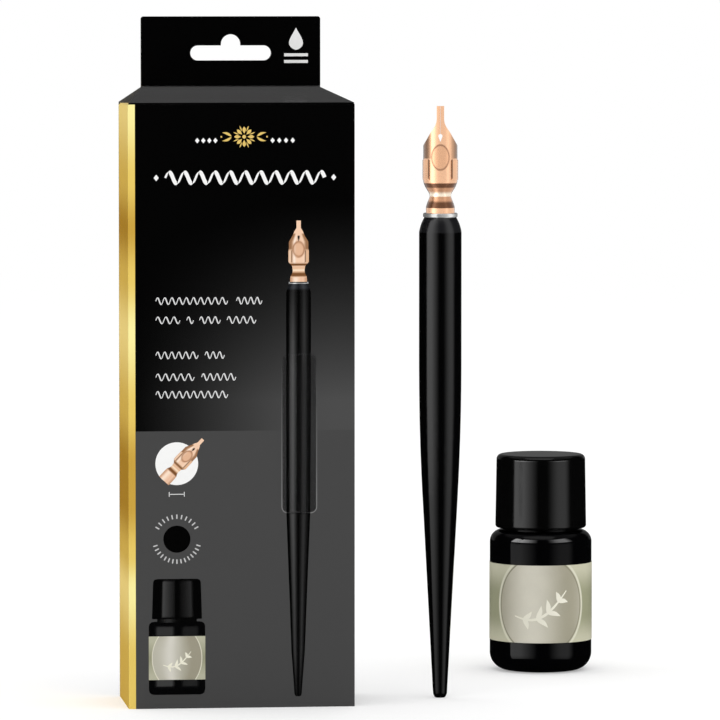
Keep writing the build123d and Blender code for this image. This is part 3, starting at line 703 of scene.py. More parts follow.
# %% [markdown]
# ## How a printed mark becomes a mesh
#
# Every mark on the carton is a film of ink two hundredths of a millimetre thick. It is drawn flat first,
# as a grid of points (a, b): a to the right and b up, in millimetres. A mapping then lays the grid on the
# board or wraps it round the label. The face and the back of the film are the same grid at two heights,
# and quads round the rim close it, so each mark is a sealed solid. Colours go into an attribute that the
# ink's material reads.

# %% Mappings from flat drawing to board and label
REGISTER = (-0.2, 0.3)


def on_front(a, b, h):
    """a from the carton's left edge, b from the ground, h out of the front wall; a press never prints
    quite where it should, and REGISTER is how far this one is out."""
    return np.stack([CARTON_LEFT + a + REGISTER[0], CARTON_FRONT - h + 0 * a, b + REGISTER[1]], -1) * MM


def on_back(a, b, h):
    """a from the carton's right edge as its back is seen, h out of the back wall."""
    return np.stack([CARTON_RIGHT - a, CARTON_BACK + h + 0 * a, b], -1) * MM


def on_tab(a, b, h):
    return np.stack([CARTON_LEFT + a, TAB_FRONT - h + 0 * a, b], -1) * MM


def on_label(a, b, h):
    """a along the paper from the label's front: angle = a / radius about the bottle's axis."""
    angle, out = (a + LABEL_START) / LABEL_RADIUS, LABEL_RADIUS + h
    x, y = BOTTLE_AXIS[0] + out * np.sin(angle), BOTTLE_AXIS[1] - out * np.cos(angle)
    return np.stack([x, y, LABEL_MIDDLE + b], -1) * MM


print("front of the label, in metres:", on_label(np.zeros(1), np.zeros(1), 0.0).round(4))

# %% Grids that draw strokes
def ray(turn):
    """The unit vector at an angle in degrees."""
    return np.array([np.cos(radians(turn)), np.sin(radians(turn))])


def soft_steps(rows):
    """Steps from 0 to 1, closer at both ends: (1 - cos t) / 2."""
    return (1 - np.cos(np.linspace(0.03, pi - 0.03, rows))) / 2


def line(start, end):
    return np.linspace(start, end, 3)


def band(path, half, closed=False):
    """Points each side of a path: path plus and minus half a width along its normal."""
    path = np.asarray(path, float)
    step = np.roll(path, -1, 0) - np.roll(path, 1, 0) if closed else np.gradient(path, axis=0)
    across = np.stack([-step[:, 1], step[:, 0]], 1)
    across /= np.linalg.norm(across, axis=1, keepdims=True)
    half = np.broadcast_to(half, len(path))[:, None]
    return np.stack([path - half * across, path + half * across], 1)


def pen_width(path, nib, angle, least=0.1):
    """Half width of a broad pen's stroke: half the nib times the sine of stroke direction less nib angle."""
    step = np.gradient(np.asarray(path, float), axis=0)
    return np.maximum(least, nib / 2 * np.abs(np.sin(np.arctan2(step[:, 1], step[:, 0]) - radians(angle))))


level_stroke = 2 * pen_width(line((0, 0), (1, 0)), 1, 40)[0]
print("a pen of 1 mm held at 40 degrees draws a level line", level_stroke.round(2), "mm wide")

# %% Grids that draw leaves, discs and diamonds
def spindle(start, end, half, rows=25, columns=2, bend=0.0):
    """A shape about the line from start to end: v runs along it, u across, width half(v), bowed by bend."""
    v, u = soft_steps(rows), np.linspace(-1, 1, columns)
    start, end = np.asarray(start, float), np.asarray(end, float)
    way = end - start
    side = np.array([way[1], -way[0]]) / np.linalg.norm(way)
    offset = u[None, :, None] * half(v)[:, None, None] + bend * np.sin(pi * v)[:, None, None]
    return start + v[:, None, None] * way + offset * side


def upright_shape(centre, half_height, half, rows):
    centre = np.asarray(centre, float)
    return spindle(centre - (0, half_height), centre + (0, half_height), half, rows)


def disc(centre, radius, rows=41):
    """Chords of a circle: half width = radius times sqrt(1 - (2v - 1)^2)."""
    return upright_shape(centre, radius, lambda v: radius * np.sqrt(1 - (2 * v - 1) ** 2), rows)


def rounded(centre, half_a, half_b, corner_radius, rows=33):
    """Chords of a rounded rectangle."""
    def half(v):
        over = np.maximum(np.abs(2 * v - 1) * half_b - (half_b - corner_radius), 0)
        return half_a - corner_radius + np.sqrt(np.maximum(corner_radius**2 - over**2, 1e-6))
    return upright_shape(centre, half_b, half, rows)


def diamond(centre, half):
    return upright_shape(centre, half, lambda v: half * (1 - np.abs(2 * v - 1)) * 0.8 + 0.01, 5)


print("a disc is a grid of", disc((0, 0), 1.0).shape[:2], "points")

# %% Sheets of ink
FILM_THICK, FILM_CLEAR = 0.018, 0.003


def sheet(mapping, grid, level=0, tint=(240, 240, 238), closed=False):
    """One closed film. Level 0 lies on the board, and each level above lies on the one before."""
    grid = np.asarray(grid, float)
    rows, columns = grid.shape[:2]
    tints = np.broadcast_to(np.asarray(tint, float) / 255, (rows, columns, 3))
    d1, d2 = grid[1:, 1:] - grid[:-1, :-1], grid[1:, :-1] - grid[:-1, 1:]
    if (d1[..., 0] * d2[..., 1] - d1[..., 1] * d2[..., 0]).sum() < 0:
        grid, tints = grid[:, ::-1], tints[:, ::-1]
    a, b = grid[..., 0].ravel(), grid[..., 1].ravel()
    face_height, back_height = FILM_THICK * (level + 1), FILM_THICK * level + FILM_CLEAR
    points = np.concatenate([mapping(a, b, face_height), mapping(a, b, back_height)])
    index = np.arange(rows * columns).reshape(rows, columns)
    if closed:
        index = np.vstack([index, index[:1]])
    face = np.stack([index[:-1, :-1], index[:-1, 1:], index[1:, 1:], index[1:, :-1]], -1).reshape(-1, 4)
    if closed:
        rims = [np.stack([index[:-1, 0], index[1:, 0]]), np.stack([index[1:, -1], index[:-1, -1]])]
    else:
        loop = np.concatenate([index[0, :], index[1:, -1], index[-1, -2::-1], index[-2:0:-1, 0]])
        rims = [np.stack([np.roll(loop, -1), loop])]
    back = rows * columns
    rim = np.concatenate([np.stack([r[0], r[1], r[1] + back, r[0] + back], -1) for r in rims])
    faces = np.concatenate([face, face[:, ::-1] + back, rim])
    return points, faces, np.concatenate([tints.reshape(-1, 3)] * 2)


def sheets_of(mapping, grids, tint, level=0):
    return [sheet(mapping, grid, level, tint) for grid in grids]


def make_piece(name, sheets, material, body="carton"):
    """Joins the sheets into one mesh object that rides on a body, with the colours in attribute Tint."""
    sizes = np.cumsum([0] + [len(s[0]) for s in sheets])
    points = np.concatenate([s[0] for s in sheets])
    faces = np.concatenate([s[1] + start for s, start in zip(sheets, sizes)])
    tints = to_linear(np.concatenate([s[2] for s in sheets]))
    piece = mesh_object(name, points, faces, material)
    colour = piece.data.color_attributes.new("Tint", "FLOAT_COLOR", "POINT")
    colour.data.foreach_set("color", np.c_[tints, np.ones(len(tints))].astype(np.float32).ravel())
    piece.data.validate()
    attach(piece, body)
    print(f"{name}: {len(sheets)} marks, {len(points)} points, {len(faces)} faces")


print("a film of ink is", round(FILM_THICK - FILM_CLEAR, 3), "mm thick")

# %% [markdown]
# ## Ink
#
# One printing ink serves every mark: it takes its colour from the attribute, and lies under the same
# varnish as the board, so it shines alike. A slight mottle keeps large areas from looking flat. The
# label's marks are a matt cream ink with a grain like the paper's.

# %% Printing inks
def ink(name, coarse_size, amount, roughness, ior):
    material, shader, mottle = uneven_finish(name, [], (coarse_size, 0.25, amount), roughness, ior=ior)
    tint = add(mottle.tree, "Attribute", output="Color", attribute_name="Tint")
    connect(shader, base_color=shade(tint, mottle))
    return material


PRINT = ink("print_ink", 4.0, 0.06, 0.16, 1.5)
CREAM = ink("label_ink", 3.0, 0.08, 0.4, 1.45)

# %% [markdown]
# ## Ornament and rows of marks on the front
#
# The head of the carton carries a small gold rosette between two rows of white diamonds, and under it a
# broad wave written with an edged pen. The rosette is spindles set round a centre: eight petals, eight
# thin sepals between them, and at each side two opening leaves and a dot. The wave gets its thick and
# thin from the pen: an edge held at a fixed angle writes thin along that angle and thick across it, so
# the half width is the sine of the angle between stroke and nib.

# %% Gold rosette
GOLD_INK, WHITE_INK, ROW_INK, TICK_INK = (226, 194, 108), (246, 246, 245), (222,) * 3, (196,) * 3
ROSETTE = np.array((34.75, 169.6))


def leaf(foot, turn, near_end, far_end, half, fullest=1.0, bend=0.0):
    """A spindle from one distance to another along a ray from the foot; turn is in degrees."""
    start, end = foot + near_end * ray(turn), foot + far_end * ray(turn)
    return spindle(start, end, lambda v: half * np.sin(pi * v**fullest) + 0.01, 15, bend=bend)


marks = [disc(ROSETTE, 0.55, 17)]
for turn in np.arange(8) * 45.0:
    marks += [leaf(ROSETTE, turn, 0.9, 3.0, 0.5, 1.3), leaf(ROSETTE, turn + 22.5, 1.7, 3.5, 0.17)]
for side, heading in ((-1, 180), (1, 0)):
    foot = ROSETTE + (side * 3.5, 0.0)
    marks += [leaf(foot, heading + fan, 0.3, 3.3, 0.36, 0.8, bend) for fan, bend in ((-22, 0.3), (22, -0.3))]
    marks.append(disc(foot + (side * 3.3, 0.0), 0.26, 9))
make_piece("front_rosette", sheets_of(on_front, marks, GOLD_INK), PRINT)

# %% White diamonds and the written wave
marks = [diamond((a, 168.5), 0.8) for a in np.r_[np.linspace(20.8, 26.2, 4), np.linspace(43.2, 49.2, 4)]]
t = np.linspace(0, 1, 331)
wave = np.stack([11.3 + 47.4 * t, 157.5 + 1.75 * np.sin(2 * pi * 10.5 * t)], 1)
marks.append(band(wave, pen_width(wave, 1.15, 35)))
marks += [diamond((a, 157.5), 0.95) for a in (8.6, 61.4)]
make_piece("front_wave", sheets_of(on_front, marks, WHITE_INK), PRINT)

# %% [markdown]
# Five rows of light writing practice stand at the left, in two blocks. Each word is a thin wave, and
# the lengths and places of the words follow a printed caption's.

# %% Practice rows
ROWS = (
    (121.0, ((8.4, 29.8), (32.4, 40.0))),
    (115.3, ((8.4, 15.6), (17.6, 19.6), (21.4, 27.6), (29.6, 38.2))),
    (104.9, ((8.4, 21.0), (23.0, 28.8))),
    (98.4, ((8.4, 19.8), (22.0, 32.2))),
    (93.2, ((8.4, 29.8),)),
)


def word(b, start, end):
    """A sine of whole periods about 2.1 mm long."""
    turns = max(1, round((end - start) / 2.1))
    t = np.linspace(0, 1, 14 * turns + 1)
    path = np.stack([start + (end - start) * t, b + 1.0 * np.sin(2 * pi * turns * t)], 1)
    return band(path, pen_width(path, 0.4, 40, 0.12))


marks = [word(b, *ends) for b, words in ROWS for ends in words]
make_piece("front_rows", sheets_of(on_front, marks, ROW_INK), PRINT)

# %% [markdown]
# ## Pictures of the nib, the pen and the bottle
#
# The front shows the set's own things as small pictures. A picture is a fine grid whose outline is a half
# width at each height, and whose colour at (u, v) comes from a formula: dark at the edges, a soft
# highlight at each side of the middle. The formulas below work on the real thing's lengths, and each
# picture has its own scale.

# %% How tones are laid
def near(value, centre, width):
    """A bump that is 1 at the centre and fades over the width: exp(-(distance / width)^2)."""
    return np.exp(-(((value - centre) / width) ** 2))


def within(value, low, high, soft):
    """1 between low and high, with soft edges: the product of two clipped slopes."""
    return np.clip((value - low) / soft + 0.5, 0, 1) * np.clip((high - value) / soft + 0.5, 0, 1)


def tone(base, *layers):
    """Lays colours over a base in turn, each by its weight."""
    out = np.broadcast_to(np.asarray(base, float), (*layers[0][0].shape, 3))
    for weight, colour in layers:
        out = out + weight[..., None] * (np.asarray(colour, float) - out)
    return out


print("on its line a soft edge is at", within(1.0, 1.0, 3.0, 0.5))

# %% Tones of the nib
NIB_REACH = [0, 4, 5.8, 8, 11.4, 15.6, 15.8, 22.2, 23, 24.4, 26.8, 28.2, 29.9, 31.8, 37.6]
NIB_HALF = [1.12, 1.12, 2.2, 3.03, 4.95, 4.95, 5.2, 5.2, 4.55, 3.33, 3.0, 3.2, 4.1, 4.28, 4.28]


def nib_tones(s, u):
    """Copper with a highlight left of the middle, dark flanks, two dark waists, the pad and the hole."""
    half = np.interp(s, NIB_REACH, NIB_HALF)
    pad = np.hypot(u * half / 2.75, (s - 15.4) / 3.95)
    hole = np.hypot(u * half / np.interp(s, [8.2, 10.9], [0.75, 0.2]), (s - 9.4) / 1.4)
    body, clip, shank = within(s, 8, 23, 2.0), within(s, 15.8, 22.4, 0.3), within(s, 30.4, 60, 0.2)
    return tone(
        (244, 205, 175),
        (within(np.abs(u), 0.62, 2, 0.3) * within(s, 7, 15.7, 0.6) * 0.8, (134, 90, 56)),
        (within(np.abs(u), 0.7, 2, 0.05) * clip, (226, 182, 146)),
        (near(u, -0.42, 0.12) * body * 0.8, (255, 240, 226)),
        (near(u, 0.5, 0.1) * body * 0.4, (255, 224, 198)),
        (near(np.abs(u), 0.66, 0.05) * clip * 0.9, (92, 60, 38)),
        (near(u, -0.86, 0.06) * clip * 0.7, (255, 232, 212)),
        (within(s, 22.9, 24.2, 0.4), (118, 74, 36)),
        (within(s, 24.6, 28.0, 1.4) * 0.7, (222, 176, 138)),
        (near(s, 26.6, 0.5), (255, 232, 204)),
        (within(s, 27.9, 30.0, 0.8), (124, 80, 44)),
        (shank * within(np.abs(u), 0.7, 2, 0.3) * 0.6, (176, 126, 92)),
        (shank * near(u, -0.35, 0.3) * 0.6, (255, 240, 224)),
        (shank * near(u, 0.35, 0.25) * 0.4, (226, 172, 138)),
        (near(pad, 1.0, 0.13) * 0.9, (160, 108, 74)),
        (within(pad, -1, 0.9, 0.2) * 0.5, (214, 160, 122)),
        (within(hole, -1, 1.0, 0.3), (14, 12, 12)),
    )


def nib_picture(tip, foot, shown, scale, rows):
    """The nib from its tip to its foot; `shown` is how many of its real millimetres that is."""
    grid = spindle(tip, foot, lambda v: scale * np.interp(v * shown, NIB_REACH, NIB_HALF), rows, 25)
    s, u = np.meshgrid(soft_steps(rows) * shown, np.linspace(-1, 1, 25), indexing="ij")
    return sheet(on_front, grid, 1, nib_tones(s, -u))


print("outline of the nib from", len(NIB_REACH), "widths over", NIB_REACH[-1], "mm")

# %% The white disc with the nib, the size bar and the ink's colour
DISC, DISC_RADIUS, DISC_NIB_SCALE, DISC_NIB = (14.56, 72.7), 6.36, 0.452, 37.4
DOT, DOT_RADIUS, TICK_RADII = np.array((14.56, 50.24)), 4.03, np.array([6.05, 6.7, 7.35])
tip = np.array((22.37, 79.9))
sheets = [
    sheet(on_front, disc(DISC, DISC_RADIUS, 61), 0, WHITE_INK),
    nib_picture(tip, tip - ray(46.5) * DISC_NIB * DISC_NIB_SCALE, DISC_NIB, DISC_NIB_SCALE, 90),
    sheet(on_front, disc(DOT, DOT_RADIUS, 49), 0, (4, 4, 4)),
]
bars = (((12.3, 63.6), (16.8, 63.6)), ((12.3, 62.9), (12.3, 64.3)), ((16.8, 62.9), (16.8, 64.3)))
sheets += sheets_of(on_front, [band(line(*ends), 0.11) for ends in bars], (226, 226, 226))
turns = np.r_[np.linspace(30, 150, 11), np.linspace(197, 343, 15)]
sheets += sheets_of(on_front, [band(DOT + ray(turn) * TICK_RADII[:, None], 0.19) for turn in turns], TICK_INK)
make_piece("front_nib_disc", sheets, PRINT)

# %% [markdown]
# The pen stands the full height of the carton's front, at a little over half its real size. The ground
# behind its middle is darker inside a rounded strip, under the clear film, and a fine light line runs
# round the strip.

# %% Strip behind the printed pen
PEN_SCALE, PEN_FOOT, PEN_TIP = 0.585, (50.7, 2.95), (50.95, 144.7)


def pen_middle(b):
    """The pen stands a little askew: its axis moves right by a quarter of a millimetre from foot to tip."""
    return np.interp(b, (PEN_FOOT[1], PEN_TIP[1]), (PEN_FOOT[0], PEN_TIP[0]))


def rounded_loop(centre, half_a, half_b, corner_radius, points=64):
    """Points round a rounded rectangle: a circle whose quarters are moved apart to the four corners."""
    turn = (np.arange(points) + 0.5) * 2 * pi / points
    ring = np.stack([np.cos(turn), np.sin(turn)], 1)
    return centre + np.sign(ring) * (np.array([half_a, half_b]) - corner_radius) + corner_radius * ring


def greys(values, columns):
    """The same grey across each row of a grid."""
    return values[:, None, None] * np.ones((1, columns, 3))


strip = np.array([film_centre[0] - CARTON_LEFT - REGISTER[0], film_centre[2] - REGISTER[1]])
half_a, half_b = film_half[0], film_half[2]
ground = np.interp(soft_steps(33), [0, 0.5, 1], [44, 48, 42])
outline = rounded_loop(strip, half_a + 0.1, half_b + 0.1, FILM_CORNER + 0.1)
fading = np.interp(outline[:, 1], [strip[1] - half_b, strip[1], strip[1] + half_b], [150, 100, 56])
pen_sheets = [
    sheet(on_front, rounded(strip, half_a, half_b, FILM_CORNER), 0, greys(ground, 2)),
    sheet(on_front, band(outline, 0.09, closed=True), 1, greys(fading, 1), closed=True),
]
print("strip round", np.round(strip, 2), "and its outline of", len(outline), "points")

# %% Picture of the pen
PRINTED_NIB, NIB_ABOVE_FLANGE = 33.4, 31.6
FLANGE_B, FLANGE_HALF, COLLAR_FOOT = 125.95, 2.95, 124.2
BARREL_B = [2.95, 3.1, 3.6, 16.95, 31.8, 57.7, 89.7, 115.7, 123.2, 124.0, 124.7, 125.8, 125.95]
BARREL_HALF = [0.45, 0.85, 1.06, 2.02, 2.55, 3.56, 3.7, 3.7, 3.66, 3.5, 3.25, 2.85, 2.75]
LEFT_V, LEFT_LEVELS = [0, 0.1, 0.35, 0.6, 0.8, 0.9, 1], [0.2, 0.65, 0.82, 1, 1, 0.75, 0.4]


def barrel_tones(v, u):
    """Black with two upright highlights at a third and two thirds of the width."""
    left = np.interp(u, [-0.82, -0.66, -0.45, -0.02], [0, 0.7, 1, 0]) * np.interp(v, LEFT_V, LEFT_LEVELS)
    right = np.interp(u, [0.02, 0.46, 0.9], [0, 1, 0]) * np.interp(v, [0, 0.1, 0.9, 1], [0.3, 0.95, 1, 0.7])
    return tone((3, 3, 3), (left, (88, 88, 88)), (right, (53, 53, 53)))


neck = PEN_TIP[1] - NIB_ABOVE_FLANGE * PEN_SCALE
pen_sheets.append(nib_picture(PEN_TIP, (pen_middle(neck), neck), PRINTED_NIB, PEN_SCALE, 80))
v, u = np.meshgrid(np.linspace(0, 1, 3), np.linspace(-1, 1, 25), indexing="ij")
flange = np.stack([pen_middle(126.0) + FLANGE_HALF * u, FLANGE_B + 0.55 * v], -1)
glints = (near(u, -0.4, 0.22), (240, 240, 240)), (near(u, 0.6, 0.2) * 0.6, (210, 210, 210))
pen_sheets.append(sheet(on_front, flange, 1, tone((150, 152, 152), *glints)))
b = np.unique(np.r_[np.linspace(BARREL_B[0], BARREL_B[-1], 60), BARREL_B])
v, u = np.meshgrid((b - b[0]) / (b[-1] - b[0]), np.linspace(-1, 1, 33), indexing="ij")
across = pen_middle(b)[:, None] + u * np.interp(b, BARREL_B, BARREL_HALF)[:, None]
barrel = np.stack([across, np.broadcast_to(b[:, None], u.shape)], -1)
collar = greys(within(b, COLLAR_FOOT, 130, 0.3), len(u[0]))
pen_sheets.append(sheet(on_front, barrel, 1, barrel_tones(v, u) + collar * (24, 26, 30)))
make_piece("front_pen_picture", pen_sheets, PRINT)

# %% [markdown]
# The bottle's picture is stacked from plain outlines: glass, neck, cap and label, and on the label the
# same ring and leaf sprig that the real label carries.

# %% How the bottle's picture is stacked
BOTTLE_A = 14.55


def upright(b_values, half_values, columns=33, rows=40):
    """A grid about the bottle's middle line with the half widths given at some heights."""
    b = np.unique(np.r_[np.linspace(b_values[0], b_values[-1], rows), b_values])
    u = np.linspace(-1, 1, columns)
    half = np.interp(b, b_values, half_values)
    grid = np.stack([BOTTLE_A + u * half[:, None], np.broadcast_to(b[:, None], (len(b), columns))], -1)
    return grid, *np.meshgrid((b - b[0]) / (b[-1] - b[0]), u, indexing="ij")


def part(level, outline, base, layers):
    """A sheet for one part of the picture; `layers` gives the tones at v up the part and u across it."""
    grid, v, u = upright(*outline)
    return sheet(on_front, grid, level, tone(base, *layers(v, u)))


def glass_layers(v, u):
    glow = within(v, 0.11, 0.24, 0.02) + within(v, 0.80, 0.93, 0.02) * 0.8
    left, right = within(u, -0.74, -0.12, 0.1), within(u, 0.2, 0.74, 0.12)
    return (left * glow, (62, 62, 62)), (right * glow, (36, 36, 36))


def cap_layers(v, u):
    side = within(v, 0.04, 0.95, 0.04)
    left = within(u, -0.6, -0.1, 0.06) * np.interp(u, [-0.6, -0.1], [1, 0.3])
    right = within(u, 0.12, 0.62, 0.06) * np.interp(u, [0.12, 0.62], [0.2, 1])
    return (left * side, (70, 70, 70)), (right * side, (46, 46, 46))


print("the picture's middle line is", BOTTLE_A, "mm from the carton's left edge")

# %% Glass, neck, cap and label in the picture
glass_outline = [3.86, 4.1, 4.6, 5.5, 24.3, 25.0, 25.5, 25.7], [6.9, 7.7, 8.2, 8.39, 8.39, 8.2, 7.6, 6.6]
cap_outline = [26.46, 26.7, 37.2, 37.8, 38.1, 38.3, 38.38], [7.3, 7.43, 7.1, 6.95, 6.7, 6.3, 5.8]
ring_b = np.linspace(8.32, 21.28, 31)
ring_half = 7.4 * np.sqrt(1 - ((ring_b - 14.8) / 9.5) ** 2)
sheets = [
    part(1, glass_outline, (5, 5, 6), glass_layers),
    part(2, ([25.4, 26.7], [5.9, 5.9], 17, 4), (6, 6, 6),
         lambda v, u: [(near(u, -0.45, 0.3) * 0.6, (70, 70, 70))]),
    part(3, cap_outline, (4, 4, 4), cap_layers),
    part(2, ([8.3, 21.3], [8.43, 8.43], 17, 20), (152, 152, 126),
         lambda v, u: [(within(np.abs(v - 0.5), 0.2, 2, 0.4), (184, 183, 160))]),
    part(3, (ring_b, ring_half, 25, 4), (186, 183, 168),
         lambda v, u: [(near(u, -0.3, 0.3), (214, 211, 200)), (within(u, 0.35, 2, 0.5), (158, 153, 134))]),
]
ring_sides = [np.stack([BOTTLE_A + side * ring_half, ring_b], 1) for side in (-1, 1)]
sheets += sheets_of(on_front, [band(path, 0.13) for path in ring_sides], (222, 219, 200), 4)
print("the bottle's picture has", len(sheets), "parts so far")

# %% Leaf sprig
def sprig(centre, size):
    """A bowed stem with pairs of leaves: each leaf a spindle that leaves the stem at 52 degrees."""
    def half(v):
        return size * 0.085 * np.sin(pi * v**0.8) + 0.004
    t = np.linspace(0, 1, 25)
    bowed = -0.42 + 0.9 * t - 0.5 * np.sin(pi * t)
    stem = np.stack([centre[0] + size * (-0.95 + 1.9 * t), centre[1] + size * bowed], 1)
    shapes = [band(stem, size * (0.018 + 0.03 * np.sin(pi * t)))]
    for place, reach in ((0.2, 0.42), (0.42, 0.52), (0.64, 0.5), (0.84, 0.38)):
        foot = stem[int(place * 24)]
        ahead = stem[int(place * 24) + 1] - foot
        heading = np.degrees(np.arctan2(ahead[1], ahead[0]))
        for side in (-1, 1):
            end = foot + size * reach * ray(heading + side * 52)
            shapes.append(spindle(foot, end, half, 11, bend=side * size * 0.05))
    return shapes


def sprig_sheets(mapping, centre, size, level, tint):
    """Stem and leaves at levels of their own, because two films in one plane would show through."""
    shapes = enumerate(sprig(centre, size))
    return [sheet(mapping, shape, level + (k > 0) * (1 + k % 2), tint) for k, shape in shapes]


sheets += sprig_sheets(on_front, (BOTTLE_A, 14.6), 4.4, 4, (240, 237, 218))
make_piece("front_bottle_picture", sheets, PRINT)

# %% [markdown]
# The label on the bottle carries the same leaf sprig, in raised cream ink, and the hanging tab a small
# white drop over two bars.

# %% Label sprig and tab mark
sheets = sprig_sheets(on_label, (0.0, 0.4), 8.8, 0, (246, 243, 226))
make_piece("label_sprig", sheets, CREAM, "bottle")
TAB_A = 53.5
marks = [spindle((TAB_A, 195.0), (TAB_A, 201.7), lambda v: 2.1 * np.sin(pi * v**0.6) ** 1.15 + 0.01, 25)]
marks += [band(line((TAB_A - 3.6, b), (TAB_A + 3.6, b)), 0.45) for b in (193.5, 191.5)]
make_piece("tab_mark", sheets_of(on_tab, marks, WHITE_INK), PRINT)

# %% [markdown]
# ## Back of the carton
#
# The back of such a carton shows what the pen can write. Here it has three sets of ruled guide lines,
# each with a row of broad pen strokes, and plain bars below.

# %% Ruled practice on the back
t = np.linspace(0, 1, 281)
row_shapes = (
    (146.0, 3.0 * np.sin(2 * pi * 7 * t)),
    (118.0, 3.0 * (2 * np.abs(2 * ((6 * t) % 1) - 1) - 1)),
    (90.0, 4.2 * np.sin(2 * pi * 4 * t) * np.cos(2 * pi * 1.5 * t)),
)
strokes, rules = [], []
for base, wave in row_shapes:
    rules += [band(line((6.5, base + rise), (61.0, base + rise)), 0.09) for rise in (-5.0, 0.0, 6.0, 11.0)]
    path = np.stack([9 + 49.5 * t, base + 3 + wave], 1)
    strokes.append(band(path, pen_width(path, 2.6, 40, 0.15)))
strokes += [diamond((a, 166.5), 1.0) for a in np.linspace(20, 47.5, 6)]
bar_ends = ((66, 58), (62.6, 52), (59.2, 56), (52, 58), (48.6, 49), (45.2, 54))
bars = [band(line((9.5, b), (end, b)), 0.42) for b, end in bar_ends]
sheets = sheets_of(on_back, strokes, WHITE_INK)
sheets += sheets_of(on_back, rules, (150, 150, 150)) + sheets_of(on_back, bars, (120, 120, 120))
make_piece("back_practice", sheets, PRINT)

# %% [markdown]
# ## Studio
#
# Black gloss shows nothing but what it mirrors. So the room is dark to mirrored rays, apart from curved
# screens that stand round the set, wide ones at the left and dimmer ones at the right, each fading
# towards the camera. Their mirror images are the upright highlights on the pen, the cap and the bottle.
# The blacks, the glass, the collar, the copper and the silver have screens of their own, because each
# shows highlights of another shape and strength, and light linking keeps every screen off the rest.
# Paper and print need even light instead, which an open white sky gives them. Light Path tells the two
# kinds of ray apart, and ray visibility keeps the screens out of the paper's light and the carton out of
# the pen's highlights.

# %% Ground
GROUND_RADIUS, GROUND_POINTS = 40, 96


def stage_mesh(name, points, faces, material):
    """A mesh that belongs to the studio and not to the set."""
    thing = mesh_object(name, points, faces, material)
    thing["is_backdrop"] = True
    return thing


def mix(factor, low, high):
    """Shader `low` where the factor is 0 and `high` where it is 1."""
    return add(low.tree, "MixShader", {0: factor, 1: low, 2: high})


def seen_directly(rays):
    return calc("MAXIMUM", rays["Is Camera Ray"], rays["Is Transmission Ray"])


material, tree, output = bare_material("ground")
rays = outputs(new_node(tree, "LightPath"))
paper, bright = (add(tree, "BsdfDiffuse", {"Color": (tone, tone, tone, 1)}) for tone in (0.9, 1.0))
white = add(tree, "Emission", {"Color": (1, 1, 1, 1), "Strength": 1.0})
here = add(tree, "TexCoord", output="Object")
from_middle = add(tree, "VectorMath", {0: here}, "Value", operation="LENGTH")
seen = mix(spread(from_middle, 0.35, 2.5), mix(0.3, bright, white), white)
look = mix(seen_directly(rays), paper, seen)
fill(output, mix(rays["Is Glossy Ray"], look, add(tree, "BsdfTransparent")))
turn = np.linspace(0, 2 * pi, GROUND_POINTS + 1)[:-1]
rim = np.stack([GROUND_RADIUS * np.cos(turn), GROUND_RADIUS * np.sin(turn), 0 * turn], 1)
stage_mesh("ground", rim, np.arange(GROUND_POINTS)[None], material)
print("ground of", GROUND_RADIUS, "m")

# %% Softboxes
STAND = np.array([0.019, -0.035])


def lit_group(name, *nodes):
    """A collection that a lamp can be linked to, so that it lights these solids only."""
    group = bpy.data.collections.new(name)
    for node in nodes:
        group.objects.link(NODES[node])
    return group


def softbox(name, group, turns, glow, heights, rise, distance):
    """A curved screen that only mirrors see. Its glow is a function of azimuth times one of height, kept as
    an attribute, and it adds to whatever is behind it. No two screens may coincide, as a ray that passes
    one would skip the other, so each kind has its own distance."""
    material, tree, output = bare_material(name)
    shine = add(tree, "Emission", {"Strength": add(tree, "Attribute", output="Fac", attribute_name="Glow")})
    fill(output, add(tree, "AddShader", {0: shine, 1: add(tree, "BsdfTransparent")}))
    angle, z = np.meshgrid(np.radians(turns), heights)
    x, y = STAND[0] + distance * np.sin(angle), STAND[1] - distance * np.cos(angle)
    points = np.stack([x, y, z], -1).reshape(-1, 3)
    index = np.arange(angle.size).reshape(angle.shape)
    faces = np.stack([index[:-1, :-1], index[:-1, 1:], index[1:, 1:], index[1:, :-1]], -1).reshape(-1, 4)
    screen = stage_mesh(name, points, faces, material)
    strength = np.outer(rise, glow).astype(np.float32)
    screen.data.attributes.new("Glow", "FLOAT", "POINT").data.foreach_set("value", strength.ravel())
    screen.light_linking.receiver_collection = group
    screen.visible_camera = screen.visible_diffuse = False
    screen.visible_transmission = screen.visible_shadow = False
    print(name, "glows up to", round(float(strength.max()), 2), "on", group.name)


def smooth(value, low, high):
    """0 below low, 1 above high, and t t (3 - 2 t) between."""
    t = np.clip((value - low) / (high - low), 0, 1)
    return t * t * (3 - 2 * t)


print("the screens stand round x, y =", STAND, "m")

